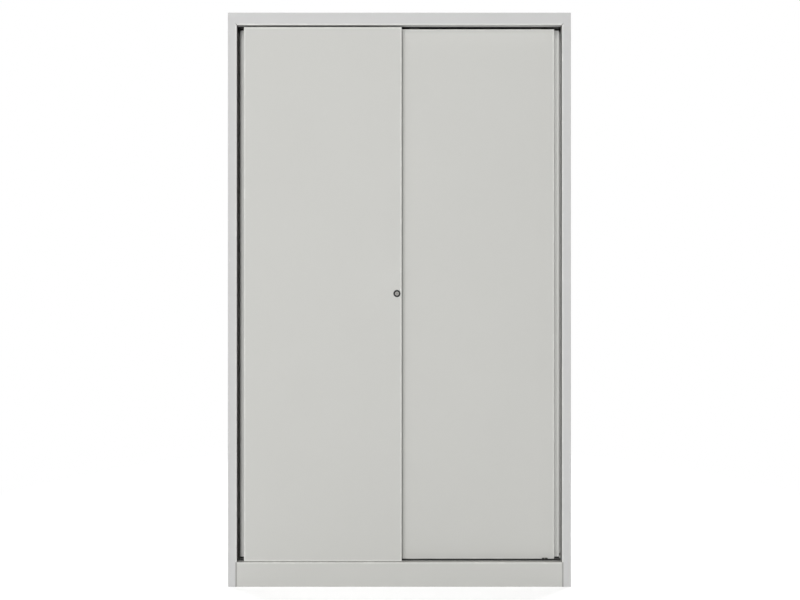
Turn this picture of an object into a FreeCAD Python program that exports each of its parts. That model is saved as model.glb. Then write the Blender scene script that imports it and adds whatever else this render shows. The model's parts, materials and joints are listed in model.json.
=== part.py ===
"""Steel office cupboard with two sliding doors, built from folded sheet.

The origin is on the floor, under the middle of the cupboard.  X runs to the right, Y to the back and
Z up, in millimetres.  Depths are counted back from the front plane of the carcass, and a size that
ends in _D is such a depth.
"""
import FreeCAD
import Part
import math
import os

V = FreeCAD.Vector

# Overall size and sheet metal
WIDTH = 1195.0
HEIGHT = 2000.0
DEPTH = 430.0
SHEET = 1.0               # carcass, doors and shelves
BACK_SHEET = 0.8          # back panels and their joint strip
BEND = 1.6                # outer radius of every fold in the sheet
SEAM = 0.3                # gap between plates that are welded side by side

# Carcass
SIDE_FLANGE = 31.0        # width of the side panels' front flanges
SIDE_LIP = 27.0           # depth of the lip that turns back from a front flange
REAR_FLANGE = 20.0
FASCIA_HEIGHT = 43.0
FASCIA_LIP = 15.0
PLINTH_HEIGHT = 86.0
PLINTH_LIP = 16.0
BASE_RETURN = 15.0        # sheet turned in along the floor
DECK_FLANGE = 20.0
TOP_SIDE_FLANGE = 24.0
CORNER_SLIT = 7.0         # bend relief at the inner corners of the front frame
CORNER_SLIT_WIDTH = 2.0
HAT_DEPTH = 25.0          # stiffening rails under the top and the deck
HAT_CROWN = 30.0
HAT_FLANGE = 15.0
WALL_HOLE_R = 4.0         # holes for fixing to a wall
WALL_HOLE_SPACING = 1000.0
WALL_HOLE_DROP = 100.0    # below the top of the cupboard
STRIP_CROWN = 18.0
STRIP_FLANGE = 13.0
STRIP_DEPTH = 4.0
STRIP_BEND = 1.6

# Doors
DOOR_FRONT_D = 5.0        # front face of the front door
DOOR_THICKNESS = 15.0
DOOR_PITCH = 28.0         # the rear door stands this far behind the front door
DOOR_OVERLAP = 14.0
LEFT_FINGER_GAP = 24.0    # between the closed front door and the left side flange
RIGHT_FINGER_GAP = 21.5   # between the closed rear door and the right side flange
DOOR_BOTTOM_GAP = 1.0
DOOR_TOP_GAP = 6.0
DOOR_LIP = 20.0
DOOR_HAT_WIDTH = 60.0
DOOR_HAT_FLANGE = 20.0
DOOR_HAT_GAP = 1.0        # between the stiffener's crown and the back of the lips

# Rollers, brackets and the bottom track
ROLLER_R = 15.0
ROLLER_WIDTH = 6.0
ROLLER_INSET = 60.0       # axle from the door's edge
ROLLER_BACK_GAP = 2.5     # from the door's back to the roller
ROLLER_LIFT = 0.3         # running gap above the groove floor
ROLLER_RECESS = 1.0
HUB_R = 5.5
RIM = 2.5
AXLE_R = 2.5
RUNNING_GAP = 0.05        # radial clearance of what turns or slides in a hole
AXLE_HEAD_R = 4.5
AXLE_HEAD = 1.5
AXLE_SHOULDER_R = 4.0    # between the bracket and the roller
SIDE_PLAY = 0.3           # along an axle
BRACKET_SHEET = 1.5
BRACKET_WIDTH = 56.0
BRACKET_DROP = 0.7        # below the door's lower edge
BRACKET_HEIGHT = 18.7
SCREW_R = 2.0
SCREW_HEAD_R = 3.8
SCREW_HEAD = 1.8
BRACKET_SCREW_SPACING = 44.0
GUIDE_SCREW_SPACING = 18.0
SCREW_TAIL = 3.0
TRACK_SHEET = 1.2
TRACK_BEND = 2.0
GROOVE_WIDTH = 10.5
GROOVE_DEPTH = 8.0
STOP_LENGTH = 20.0
STOP_HEIGHT = 14.0
STOP_WIDTH = 7.0
STOP_GAP = 0.3            # between a roller at its limit and the stop

# Top track and guides
TONGUE = 2.8
TONGUE_OFFSET = 10.6      # middle of the guide's tongue behind the door's back
SLOT_WIDTH = 4.4
SLOT_DEPTH = 22.0
TONGUE_TOP_GAP = 9.0
TOP_TRACK_FLANGE = 17.2
GUIDE_WIDTH = 36.0
GUIDE_HEIGHT = 28.0
GUIDE_BODY = 5.0
GUIDE_STEP = 8.0
GUIDE_TOP_DROP = 2.0

# Uprights, shelves and clips
UPRIGHT_FRONT_D = 61.0
UPRIGHT_DEPTH = 37.0
UPRIGHT_FACE = 26.0
UPRIGHT_INNER_INSET = 56.5    # from the outside of the cupboard to the face that holds the clips
UPRIGHT_FLANGE = 19.0
UPRIGHT_LIP = 10.0
UPRIGHT_TOP_GAP = 4.0
UPRIGHT_REAR_GAP = 3.2        # between the rear uprights and the back panel
PERFORATION_PITCH = 25.0
PERFORATION_FIRST = 40.0      # above the deck
PERFORATION_WIDTH = 4.0
PERFORATION_HEIGHT = 12.0
PERFORATION_END = 30.0
SHELF_COUNT = 4
SHELF_FIRST_COUNT = 12        # perforation that carries the lowest shelf
SHELF_STEP_COUNT = 15         # perforations from one shelf to the next
SHELF_HEIGHT = 30.0
SHELF_LIP = 16.0
SHELF_GAP = 1.0               # at the ends of a shelf
SHELF_SETBACK = 2.0
CLIP_SHEET = 1.2
CLIP_WIDTH = 14.0
CLIP_HEIGHT = 24.0
CLIP_LEDGE = 13.0
CLIP_BEND = 1.8
HOOK_PLAY = 0.3
HOOK_LENGTH = 3.0

# Levelling feet
FOOT_INSET = 77.5             # from the outside of the cupboard
FOOT_D = 100.0                # front feet; the rear ones stand as far from the back
FOOT_PLAY = 0.5               # pad above the floor when the cupboard stands on its sides
PAD_R = 22.5
PAD_HEIGHT = 8.0
PAD_BOSS_R = 9.0
PAD_BOSS = 6.0
PAD_CHAMFER = 1.5
PAD_FLOOR = 3.5
FOOT_SCREW_R = 5.0
FOOT_SCREW_TOP_GAP = 10.0     # below the deck
FOOT_SLOT = 1.6
FOOT_SLOT_DEPTH = 3.0
FOOT_BRACKET_SHEET = 2.0
FOOT_BRACKET_BEND = 3.0
FOOT_BRACKET_Z = 38.0
FOOT_BRACKET_WIDTH = 50.0
FOOT_BRACKET_REACH = 24.0     # beyond the screw
FOOT_BRACKET_RISE = 27.0
NUT_FLATS = 17.0
NUT_HEIGHT = 8.0
CAP_HOLE_R = 8.0
CAP_HEAD_R = 10.5
CAP_HEAD = 1.5
CAP_STEM = 6.0

# Lock and striker
LOCK_INSET = 16.8             # from the front door's right edge
LOCK_Z = 1021.5
BEZEL_R = 12.5
BEZEL_PROUD = 2.5
LOCK_BODY_R = 9.0
LOCK_BODY_LENGTH = 17.0
PLUG_R = 7.25
PLUG_SUNK = 0.4               # plug face behind the rim of the bezel
KEYWAY_WIDTH = 1.4
KEYWAY_HEIGHT = 6.0
KEYWAY_DEPTH = 8.0
LOCK_NUT_FLATS = 22.0
LOCK_NUT = 3.0
LIP_NOTCH = 34.0              # cut in the door's lip behind the lock
SPIGOT_R = 3.5
CAM_GAP = 2.0                 # between the lock body and the cam
CAM_SHEET = 2.0
CAM_LENGTH = 28.0
CAM_WIDTH = 8.0
CAM_HUB_R = 7.0
CAM_SCREW_R = 1.5
CAM_SCREW_HEAD_R = 4.5
CAM_SCREW_HEAD = 2.0
CAM_SCREW_LENGTH = 8.0
STRIKER_SHEET = 1.2
STRIKER_BEND = 1.5
STRIKER_PLAY = 0.7            # between the locked cam and the striker
STRIKER_WIDTH = 8.8
STRIKER_REACH = 9.0           # tab in front of the rear door
STRIKER_TOP_DROP = 11.5       # below the lock's axis
STRIKER_TAB = 20.0
STRIKER_HEIGHT = 50.0
RIVET_R = 1.5
RIVET_HEAD_R = 2.5
RIVET_HEAD = 1.0
RIVET_PITCH = 14.0

# Places that follow from the sizes above
FRONT_Y = -DEPTH / 2
HALF = WIDTH / 2
WALL = HALF - SHEET                       # inner face of a side panel
FRAME_IN = HALF - SIDE_FLANGE             # half the width of the door opening
FASCIA_Z = HEIGHT - FASCIA_HEIGHT
TOP_UNDER = HEIGHT - SHEET
DECK_UNDER = PLINTH_HEIGHT - SHEET
FLANGE_IN_D = DEPTH - SHEET               # inner face of the rear flanges
BACK_IN_D = FLANGE_IN_D - BACK_SHEET
DOORS_LEFT = LEFT_FINGER_GAP - FRAME_IN   # left edge of the closed front door
DOORS_RIGHT = FRAME_IN - RIGHT_FINGER_GAP   # right edge of the closed rear door
DOOR_WIDTH = (DOORS_RIGHT - DOORS_LEFT + DOOR_OVERLAP) / 2
FRONT_DOOR_RIGHT = DOORS_LEFT + DOOR_WIDTH
REAR_DOOR_LEFT = DOORS_RIGHT - DOOR_WIDTH
DOOR_Z0 = PLINTH_HEIGHT + DOOR_BOTTOM_GAP
DOOR_Z1 = FASCIA_Z - DOOR_TOP_GAP
DOOR_BACK_D = DOOR_FRONT_D + DOOR_THICKNESS
GROOVE_D = DOOR_BACK_D + ROLLER_BACK_GAP + ROLLER_WIDTH / 2
LEDGE = GROOVE_D - GROOVE_WIDTH / 2 - TRACK_SHEET
TRACK_BACK_D = GROOVE_D + DOOR_PITCH + GROOVE_WIDTH / 2 + TRACK_SHEET
SLOT_D = DOOR_BACK_D + TONGUE_OFFSET
FASCIA_RETURN = SLOT_D - SLOT_WIDTH / 2 - TRACK_SHEET
ROLLER_Z = PLINTH_HEIGHT - GROOVE_DEPTH + ROLLER_R + ROLLER_LIFT
TRACK_HALF = FRAME_IN - SEAM
UPRIGHT_IN = HALF - UPRIGHT_INNER_INSET
UPRIGHT_REAR_D = BACK_IN_D - UPRIGHT_REAR_GAP
UPRIGHT_TOP = FASCIA_Z - UPRIGHT_TOP_GAP
STRIP_FRONT_D = BACK_IN_D - STRIP_DEPTH - BACK_SHEET
SHELF_D0 = UPRIGHT_FRONT_D + SHELF_SETBACK
SHELF_D1 = min(UPRIGHT_REAR_D, STRIP_FRONT_D) - SHELF_SETBACK
LOCK_X = FRONT_DOOR_RIGHT - LOCK_INSET
FOOT_X = HALF - FOOT_INSET
EPS = 1.0                                 # how far a cutter runs past what it cuts


# ---------------------------------------------------------------- helpers
def box(x0, x1, d0, d1, z0, z1):
    """Box between two limits on each axis, with d counted back from the front plane."""
    return Part.makeBox(x1 - x0, d1 - d0, z1 - z0, V(x0, FRONT_Y + d0, z0))


def rod_y(x, z, radius, d0, d1):
    """Cylinder that runs back from depth d0 to depth d1."""
    return Part.makeCylinder(radius, d1 - d0, V(x, FRONT_Y + d0, z), V(0, 1, 0))


def rod_z(x, d, radius, z0, z1):
    """Upright cylinder."""
    return Part.makeCylinder(radius, z1 - z0, V(x, FRONT_Y + d, z0), V(0, 0, 1))


def rounded(x0, x1, d0, d1, z0, z1, radius):
    """Box with all its edges rounded."""
    block = box(x0, x1, d0, d1, z0, z1)
    return block.makeFillet(radius, block.Edges)


def join(*shapes):
    """One solid from shapes that touch or overlap."""
    result = shapes[0]
    for shape in shapes[1:]:
        result = result.fuse(shape)
    return result.removeSplitter()


def mirror_x(shape):
    """The same piece on the other side of the cupboard."""
    return shape.mirror(V(0, 0, 0), V(1, 0, 0))


def both_sides(shape):
    """A right-hand solid and its left-hand twin."""
    return [shape, mirror_x(shape)]


def group(shapes):
    """Several separate solids in one node."""
    return Part.makeCompound(shapes)


def place(plane, u, v, w):
    """Point of a section: u and v in its plane, w along the length."""
    if plane == "dz":
        return V(w, FRONT_Y + u, v)
    if plane == "xd":
        return V(u, FRONT_Y + v, w)
    return V(u, FRONT_Y + w, v)


def fold_edges(line, side, sheet, bend):
    """Faces of a folded sheet: two lists of points and arcs, one for each side of the metal.

    line is one face of the sheet before its folds are rounded, and the metal lies to the left of it
    where side is 1 and to the right where side is -1.
    """
    points = [V(u, v, 0) for u, v in line]
    runs = [(b - a).normalize() for a, b in zip(points, points[1:])]
    near = [[points[0]]]
    far = [[points[0] + V(-runs[0].y, runs[0].x, 0) * side * sheet]]
    for corner, before, after in zip(points[1:-1], runs, runs[1:]):
        turn = math.atan2(before.cross(after).z, before.dot(after))
        way = math.copysign(1, turn)
        radius = bend if way == side else bend - sheet
        reach = radius * math.tan(abs(turn) / 2)
        start = corner - before * reach
        end = corner + after * reach
        centre = start + V(-before.y, before.x, 0) * way * radius
        middle = (corner - centre).normalize()
        offset = sheet if way != side else -sheet
        near.append([start, centre + middle * radius, end])
        far.append([start + V(-before.y, before.x, 0) * side * sheet,
                    centre + middle * (radius + offset),
                    end + V(-after.y, after.x, 0) * side * sheet])
    near.append([points[-1]])
    far.append([points[-1] + V(-runs[-1].y, runs[-1].x, 0) * side * sheet])
    return near, far


def folded(plane, line, side, start, end, sheet=SHEET, bend=BEND):
    """Folded sheet of one section, extruded from start to end across the plane of its section."""
    near, far = fold_edges(line, side, sheet, bend)
    backwards = [list(reversed(stop)) for stop in reversed(far)]
    edges = []
    last = None
    for stop in near + backwards + [near[0]]:
        spots = [place(plane, point.x, point.y, start) for point in stop]
        if last is not None:
            edges.append(Part.LineSegment(last, spots[0]).toShape())
        if len(spots) == 3:
            edges.append(Part.Arc(spots[0], spots[1], spots[2]).toShape())
        last = spots[-1]
    face = Part.Face(Part.Wire(edges))
    return face.extrude(place(plane, 0, 0, end) - place(plane, 0, 0, start))


def hexagon(x, d, flats, z0, z1):
    """Upright hexagonal prism."""
    corners = []
    for step in range(7):
        angle = math.radians(60 * step)
        radius = flats / math.sqrt(3)
        corners.append(V(x + radius * math.cos(angle), FRONT_Y + d + radius * math.sin(angle), z0))
    return Part.Face(Part.makePolygon(corners)).extrude(V(0, 0, z1 - z0))


# ---------------------------------------------------------------- carcass
def corner_prism(beyond):
    """Prism on one side of the mitre at the right front corner of the frame."""
    inner = (FRAME_IN, FASCIA_Z)
    outer = (FRAME_IN + 2 * SIDE_FLANGE, FASCIA_Z + 2 * FASCIA_HEIGHT)
    reach = FRAME_IN - 2 * SIDE_FLANGE
    if beyond:
        far = [(outer[0] + SIDE_FLANGE, outer[1]), (outer[0] + SIDE_FLANGE, 0), (FRAME_IN, 0)]
    else:
        far = [(reach, outer[1]), (reach, FASCIA_Z)]
    corners = [inner, outer] + far + [inner]
    wire = Part.makePolygon([V(x, FRONT_Y - EPS, z) for x, z in corners])
    return Part.Face(wire).extrude(V(0, DEPTH + 2 * EPS, 0))


def corner_slit():
    """Cutter for the bend relief along the mitre, at the inner corner of the front frame."""
    slit = box(-CORNER_SLIT_WIDTH, CORNER_SLIT, -EPS, BEND, -CORNER_SLIT_WIDTH / 2, CORNER_SLIT_WIDTH / 2)
    lean = math.degrees(math.atan2(FASCIA_HEIGHT, SIDE_FLANGE))
    slit.rotate(V(0, 0, 0), V(0, 1, 0), -lean)
    slit.translate(V(FRAME_IN, 0, FASCIA_Z))
    return slit


def make_side_panel():
    """Right side: wall, front flange with its lip, rear flange and a return along the floor."""
    line = [(FRAME_IN, SIDE_LIP), (FRAME_IN, 0), (HALF, 0), (HALF, DEPTH), (HALF - REAR_FLANGE, DEPTH)]
    panel = folded("xd", line, 1, 0, HEIGHT)
    panel = panel.cut(corner_prism(False)).cut(corner_slit())
    floor = box(WALL - BASE_RETURN, WALL, BEND, DEPTH - BEND, 0, SHEET)
    return join(panel, floor)


def make_top_panel():
    """Top skin with the fascia, its return and lip, a rear flange and flanges inside the walls."""
    line = [(FASCIA_RETURN, FASCIA_Z + FASCIA_LIP), (FASCIA_RETURN, FASCIA_Z), (0, FASCIA_Z)]
    line += [(0, HEIGHT), (DEPTH, HEIGHT), (DEPTH, HEIGHT - REAR_FLANGE)]
    panel = folded("dz", line, -1, -HALF, HALF)
    for cutter in both_sides(corner_prism(True)) + both_sides(corner_slit()):
        panel = panel.cut(cutter)
    skirt = box(WALL - SHEET, WALL, FASCIA_RETURN + EPS, BACK_IN_D - BEND,
                TOP_UNDER - TOP_SIDE_FLANGE, TOP_UNDER)
    return join(panel, *both_sides(skirt))


def make_bottom_panel():
    """Deck between the side panels, with front and rear flanges and holes over the feet."""
    line = [(TRACK_BACK_D, PLINTH_HEIGHT - DECK_FLANGE), (TRACK_BACK_D, PLINTH_HEIGHT)]
    line += [(BACK_IN_D, PLINTH_HEIGHT), (BACK_IN_D, PLINTH_HEIGHT - DECK_FLANGE)]
    deck = folded("dz", line, -1, SEAM - WALL, WALL - SEAM)
    for x, d in foot_places():
        deck = deck.cut(rod_z(x, d, CAP_HOLE_R, DECK_UNDER - EPS, PLINTH_HEIGHT + EPS))
    return deck


def make_front_plinth():
    """Plinth between the side flanges, with the ledge in front of the track."""
    line = [(BASE_RETURN, 0), (0, 0), (0, PLINTH_HEIGHT), (LEDGE, PLINTH_HEIGHT)]
    line += [(LEDGE, PLINTH_HEIGHT - PLINTH_LIP)]
    return folded("dz", line, -1, -TRACK_HALF, TRACK_HALF)


def make_rear_plinth():
    """Rail along the floor at the back."""
    top = PLINTH_HEIGHT - DECK_FLANGE - SEAM
    line = [(FLANGE_IN_D - BASE_RETURN, top), (FLANGE_IN_D, top), (FLANGE_IN_D, SHEET)]
    line += [(FLANGE_IN_D - BASE_RETURN, SHEET)]
    return folded("dz", line, -1, BEND - WALL, WALL - BEND)


def make_back_panel():
    """Right half of the back, with a hole for fixing to a wall."""
    low = PLINTH_HEIGHT - DECK_FLANGE
    sheet = box(SEAM / 2, WALL - BEND, BACK_IN_D, FLANGE_IN_D, low, TOP_UNDER - BEND)
    hole = rod_y(WALL_HOLE_SPACING / 2, HEIGHT - WALL_HOLE_DROP, WALL_HOLE_R, BACK_IN_D - EPS, DEPTH)
    return sheet.cut(hole)


def make_back_strip():
    """Hat-shaped strip that joins the two back panels on the inside."""
    edge = STRIP_CROWN / 2
    crown_d = BACK_IN_D - STRIP_DEPTH
    line = [(-edge - STRIP_FLANGE, BACK_IN_D), (-edge, BACK_IN_D), (-edge, crown_d)]
    line += [(edge, crown_d), (edge, BACK_IN_D), (edge + STRIP_FLANGE, BACK_IN_D)]
    return folded("xd", line, -1, PLINTH_HEIGHT, TOP_UNDER - REAR_FLANGE, BACK_SHEET, STRIP_BEND)


def make_hat(face_z, way, half_length):
    """Stiffening rail across the cupboard, with its flanges on face_z and its crown way of it."""
    middle = DEPTH / 2
    edge = HAT_CROWN / 2
    crown = face_z + way * HAT_DEPTH
    line = [(middle - edge - HAT_FLANGE, face_z), (middle - edge, face_z), (middle - edge, crown)]
    line += [(middle + edge, crown), (middle + edge, face_z), (middle + edge + HAT_FLANGE, face_z)]
    return folded("dz", line, way, -half_length, half_length)


# ---------------------------------------------------------------- tracks
def make_bottom_track():
    """Plastic runner with a groove for each door."""
    floor = PLINTH_HEIGHT - GROOVE_DEPTH
    line = []
    for middle in (GROOVE_D, GROOVE_D + DOOR_PITCH):
        near = middle - GROOVE_WIDTH / 2
        far = middle + GROOVE_WIDTH / 2
        line += [(near, PLINTH_HEIGHT), (near, floor), (far, floor), (far, PLINTH_HEIGHT)]
    return folded("dz", line, -1, -TRACK_HALF, TRACK_HALF, TRACK_SHEET, TRACK_BEND)


def make_top_track():
    """Plastic channel with a slot for each door's guides, hung from the fascia and the top."""
    roof = FASCIA_Z + SLOT_DEPTH
    line = []
    for middle in (SLOT_D, SLOT_D + DOOR_PITCH):
        near = middle - SLOT_WIDTH / 2
        far = middle + SLOT_WIDTH / 2
        line += [(near, FASCIA_Z), (near, roof), (far, roof), (far, FASCIA_Z)]
    back = SLOT_D + DOOR_PITCH + SLOT_WIDTH / 2 + TOP_TRACK_FLANGE
    line += [(back, FASCIA_Z), (back, TOP_UNDER)]
    return folded("dz", line, 1, -TRACK_HALF, TRACK_HALF, TRACK_SHEET, TRACK_BEND)


def make_track_stops():
    """Rubber blocks at both ends of both grooves."""
    floor = PLINTH_HEIGHT - GROOVE_DEPTH
    reach = ROLLER_INSET - ROLLER_R - STOP_GAP     # from a door's edge at its limit to the stop
    stops = []
    for middle in (GROOVE_D, GROOVE_D + DOOR_PITCH):
        d0 = middle - STOP_WIDTH / 2
        for x0 in (DOORS_LEFT + reach - STOP_LENGTH, DOORS_RIGHT - reach):
            block = box(x0, x0 + STOP_LENGTH, d0, d0 + STOP_WIDTH, floor, floor + STOP_HEIGHT)
            ends = [edge for edge in block.Edges if edge.Vertexes[0].X == edge.Vertexes[1].X]
            stops.append(block.makeChamfer(STOP_WIDTH / 5, ends))
    return group(stops)


# ---------------------------------------------------------------- uprights and shelves
def make_upright():
    """Right front upright: a perforated face for the clips, a front face and a flange on the wall."""
    back = UPRIGHT_FRONT_D + UPRIGHT_DEPTH
    inner = UPRIGHT_IN + SHEET
    front = UPRIGHT_FRONT_D + SHEET
    outer = UPRIGHT_IN + UPRIGHT_FACE - SHEET
    line = [(WALL, back + UPRIGHT_FLANGE), (WALL, back), (inner, back), (inner, front)]
    line += [(outer, front), (outer, front + UPRIGHT_LIP)]
    upright = folded("xd", line, -1, PLINTH_HEIGHT, UPRIGHT_TOP)
    slots = []
    for z in perforations():
        d0 = perforation_middle() - PERFORATION_WIDTH / 2
        slots.append(box(UPRIGHT_IN - EPS, inner + EPS, d0, d0 + PERFORATION_WIDTH,
                         z, z + PERFORATION_HEIGHT))
    return upright.cut(group(slots))


def perforations():
    """Heights of the lower edges of the perforations."""
    first = PLINTH_HEIGHT + PERFORATION_FIRST
    count = int((UPRIGHT_TOP - PERFORATION_END - first) / PERFORATION_PITCH) + 1
    return [first + step * PERFORATION_PITCH for step in range(count)]


def perforation_middle():
    """Depth of the middle of the front uprights' perforations."""
    return UPRIGHT_FRONT_D + UPRIGHT_DEPTH / 2


def to_rear(shape):
    """The same piece, turned to face the back, where the rear uprights stand."""
    middle = FRONT_Y + (UPRIGHT_FRONT_D + UPRIGHT_REAR_D) / 2
    return shape.mirror(V(0, middle, 0), V(0, 1, 0))


def shelf_heights():
    """Undersides of the shelves, which lie on the ledges of their clips."""
    rise = CLIP_HEIGHT - PERFORATION_HEIGHT / 2
    rows = perforations()
    return [rows[SHELF_FIRST_COUNT + index * SHELF_STEP_COUNT] + rise for index in range(SHELF_COUNT)]


def make_shelf(z):
    """Shelf pan: a flat top with sides folded down and lips folded in."""
    edge = UPRIGHT_IN - SHELF_GAP
    outside = rounded(-edge, edge, SHELF_D0, SHELF_D1, z, z + SHELF_HEIGHT, BEND)
    inside = rounded(-edge + SHEET, edge - SHEET, SHELF_D0 + SHEET, SHELF_D1 - SHEET,
                     z + SHEET, z + SHELF_HEIGHT - SHEET, BEND - SHEET)
    window = box(-edge + SHELF_LIP, edge - SHELF_LIP, SHELF_D0 + SHELF_LIP, SHELF_D1 - SHELF_LIP,
                 z - EPS, z + 2 * SHEET)
    return outside.cut(inside).cut(window)


def make_clip(z):
    """Right front clip: a plate on the upright, a ledge under the shelf and a hook in a perforation."""
    low = z - CLIP_HEIGHT
    line = [(UPRIGHT_IN, low), (UPRIGHT_IN, z), (UPRIGHT_IN - CLIP_LEDGE, z)]
    d0 = perforation_middle() - CLIP_WIDTH / 2
    plate = folded("xz", line, 1, d0, d0 + CLIP_WIDTH, CLIP_SHEET, CLIP_BEND)
    half = PERFORATION_WIDTH / 2 - HOOK_PLAY
    slot = z - CLIP_HEIGHT + PERFORATION_HEIGHT / 2
    hook = box(UPRIGHT_IN - CLIP_SHEET, UPRIGHT_IN + HOOK_LENGTH, perforation_middle() - half,
               perforation_middle() + half, slot, slot + PERFORATION_HEIGHT - HOOK_PLAY)
    return join(plate, hook)


def make_clips():
    """Four clips under every shelf."""
    clips = []
    for z in shelf_heights():
        clip = make_clip(z)
        clips += both_sides(clip) + both_sides(to_rear(clip))
    return group(clips)


# ---------------------------------------------------------------- levelling feet
def foot_places():
    """Axes of the four feet, from the front left one round to the rear left one."""
    back = DEPTH - FOOT_D
    return [(-FOOT_X, FOOT_D), (FOOT_X, FOOT_D), (FOOT_X, back), (-FOOT_X, back)]


def make_foot_screw(x, d):
    """Threaded stud, drawn at its outer radius, with a slot for a screwdriver."""
    top = DECK_UNDER - FOOT_SCREW_TOP_GAP
    stud = rod_z(x, d, FOOT_SCREW_R, FOOT_PLAY + PAD_FLOOR, top)
    slot = box(x - FOOT_SCREW_R - EPS, x + FOOT_SCREW_R + EPS, d - FOOT_SLOT / 2, d + FOOT_SLOT / 2,
               top - FOOT_SLOT_DEPTH, top + EPS)
    return stud.cut(slot)


def make_foot_pad(x, d):
    """Plastic pad with a socket for the stud."""
    z0 = FOOT_PLAY
    radii = [(0, z0), (PAD_R - PAD_CHAMFER, z0), (PAD_R, z0 + PAD_CHAMFER), (PAD_R, z0 + PAD_HEIGHT / 2)]
    radii += [(PAD_BOSS_R, z0 + PAD_HEIGHT), (PAD_BOSS_R, z0 + PAD_HEIGHT + PAD_BOSS)]
    radii += [(0, z0 + PAD_HEIGHT + PAD_BOSS), (0, z0)]
    wire = Part.makePolygon([V(radius, 0, z) for radius, z in radii])
    pad = Part.Face(wire).revolve(V(0, 0, 0), V(0, 0, 1), 360)
    pad.translate(V(x, FRONT_Y + d, 0))
    socket = rod_z(x, d, FOOT_SCREW_R + RUNNING_GAP, z0 + PAD_FLOOR, z0 + PAD_HEIGHT + PAD_BOSS + EPS)
    return pad.cut(socket)


def make_foot_brackets():
    """Steel angles welded to the side panels, each with a clearance hole for a stud."""
    top = FOOT_BRACKET_Z + FOOT_BRACKET_RISE
    line = [(WALL, top), (WALL, FOOT_BRACKET_Z), (FOOT_X - FOOT_BRACKET_REACH, FOOT_BRACKET_Z)]
    brackets = []
    for d in (FOOT_D, DEPTH - FOOT_D):
        start = d - FOOT_BRACKET_WIDTH / 2
        angle = folded("xz", line, -1, start, start + FOOT_BRACKET_WIDTH, FOOT_BRACKET_SHEET,
                       FOOT_BRACKET_BEND)
        hole = rod_z(FOOT_X, d, FOOT_SCREW_R + RUNNING_GAP, 0, top)
        brackets += both_sides(angle.cut(hole))
    return group(brackets)


def make_foot_nuts():
    """Weld nuts on the brackets."""
    z0 = FOOT_BRACKET_Z + FOOT_BRACKET_SHEET
    nuts = []
    for x, d in foot_places():
        bore = rod_z(x, d, FOOT_SCREW_R + RUNNING_GAP, z0 - EPS, z0 + NUT_HEIGHT + EPS)
        nuts.append(hexagon(x, d, NUT_FLATS, z0, z0 + NUT_HEIGHT).cut(bore))
    return group(nuts)


def make_foot_caps():
    """Plastic caps over the holes through which the feet are turned."""
    caps = []
    for x, d in foot_places():
        head = rod_z(x, d, CAP_HEAD_R, PLINTH_HEIGHT, PLINTH_HEIGHT + CAP_HEAD)
        stem = rod_z(x, d, CAP_HOLE_R - RUNNING_GAP, PLINTH_HEIGHT - CAP_STEM, PLINTH_HEIGHT)
        rim = [edge for edge in head.Edges if edge.BoundBox.ZMin > PLINTH_HEIGHT + CAP_HEAD / 2]
        caps.append(join(head.makeFillet(CAP_HEAD / 2, rim[:1]), stem))
    return group(caps)


# ---------------------------------------------------------------- doors
def make_door(x0, d0):
    """Door pan: a flat skin with sides folded back and lips folded in."""
    x1 = x0 + DOOR_WIDTH
    d1 = d0 + DOOR_THICKNESS
    outside = rounded(x0, x1, d0, d1, DOOR_Z0, DOOR_Z1, BEND)
    inside = rounded(x0 + SHEET, x1 - SHEET, d0 + SHEET, d1 - SHEET,
                     DOOR_Z0 + SHEET, DOOR_Z1 - SHEET, BEND - SHEET)
    window = box(x0 + DOOR_LIP, x1 - DOOR_LIP, d1 - 2 * SHEET, d1 + EPS,
                 DOOR_Z0 + DOOR_LIP, DOOR_Z1 - DOOR_LIP)
    pan = outside.cut(inside).cut(window)
    for screw in door_screw_places(x0):
        pan = pan.cut(rod_y(screw[0], screw[1], SCREW_R, d1 - 2 * SHEET, d1 + EPS))
    for x in roller_places(x0):
        pan = pan.cut(rod_y(x, ROLLER_Z, AXLE_R, d1 - 2 * SHEET, d1 + EPS))
    return pan


def make_front_door():
    """Left door, with the hole for the lock and a notch in the lip behind it."""
    pan = make_door(DOORS_LEFT, DOOR_FRONT_D)
    skin = DOOR_FRONT_D + SHEET
    hole = rod_y(LOCK_X, LOCK_Z, LOCK_BODY_R, DOOR_FRONT_D - EPS, skin + EPS)
    right = FRONT_DOOR_RIGHT - BEND
    notch = box(right - DOOR_LIP, right, DOOR_BACK_D - 2 * SHEET, DOOR_BACK_D + EPS,
                LOCK_Z - LIP_NOTCH / 2, LOCK_Z + LIP_NOTCH / 2)
    return pan.cut(hole).cut(notch)


def make_rear_door():
    """Right door, with the holes for the striker's rivets."""
    d0 = DOOR_FRONT_D + DOOR_PITCH
    pan = make_door(REAR_DOOR_LEFT, d0)
    for x, z in striker_rivets():
        pan = pan.cut(rod_y(x, z, RIVET_R, d0 - EPS, d0 + SHEET + EPS))
    return pan


def make_door_stiffener(x0, d0):
    """Hat-shaped rail bonded upright behind the skin, in the middle of a door."""
    skin = d0 + SHEET
    crown = d0 + DOOR_THICKNESS - SHEET - DOOR_HAT_GAP
    middle = x0 + DOOR_WIDTH / 2
    edge = DOOR_HAT_WIDTH / 2
    line = [(middle - edge - DOOR_HAT_FLANGE, skin), (middle - edge, skin), (middle - edge, crown)]
    line += [(middle + edge, crown), (middle + edge, skin), (middle + edge + DOOR_HAT_FLANGE, skin)]
    return folded("xd", line, 1, DOOR_Z0 + BEND, DOOR_Z1 - BEND)


def roller_places(x0):
    """Where a door's two axles are, from the door's left edge."""
    return [x0 + ROLLER_INSET, x0 + DOOR_WIDTH - ROLLER_INSET]


def bracket_screw_z():
    """Height of the screws in the roller brackets."""
    return DOOR_Z0 + DOOR_LIP / 2


def guide_screw_z():
    """Height of the screws in the top guides."""
    return DOOR_Z1 - GUIDE_TOP_DROP - GUIDE_STEP


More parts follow.
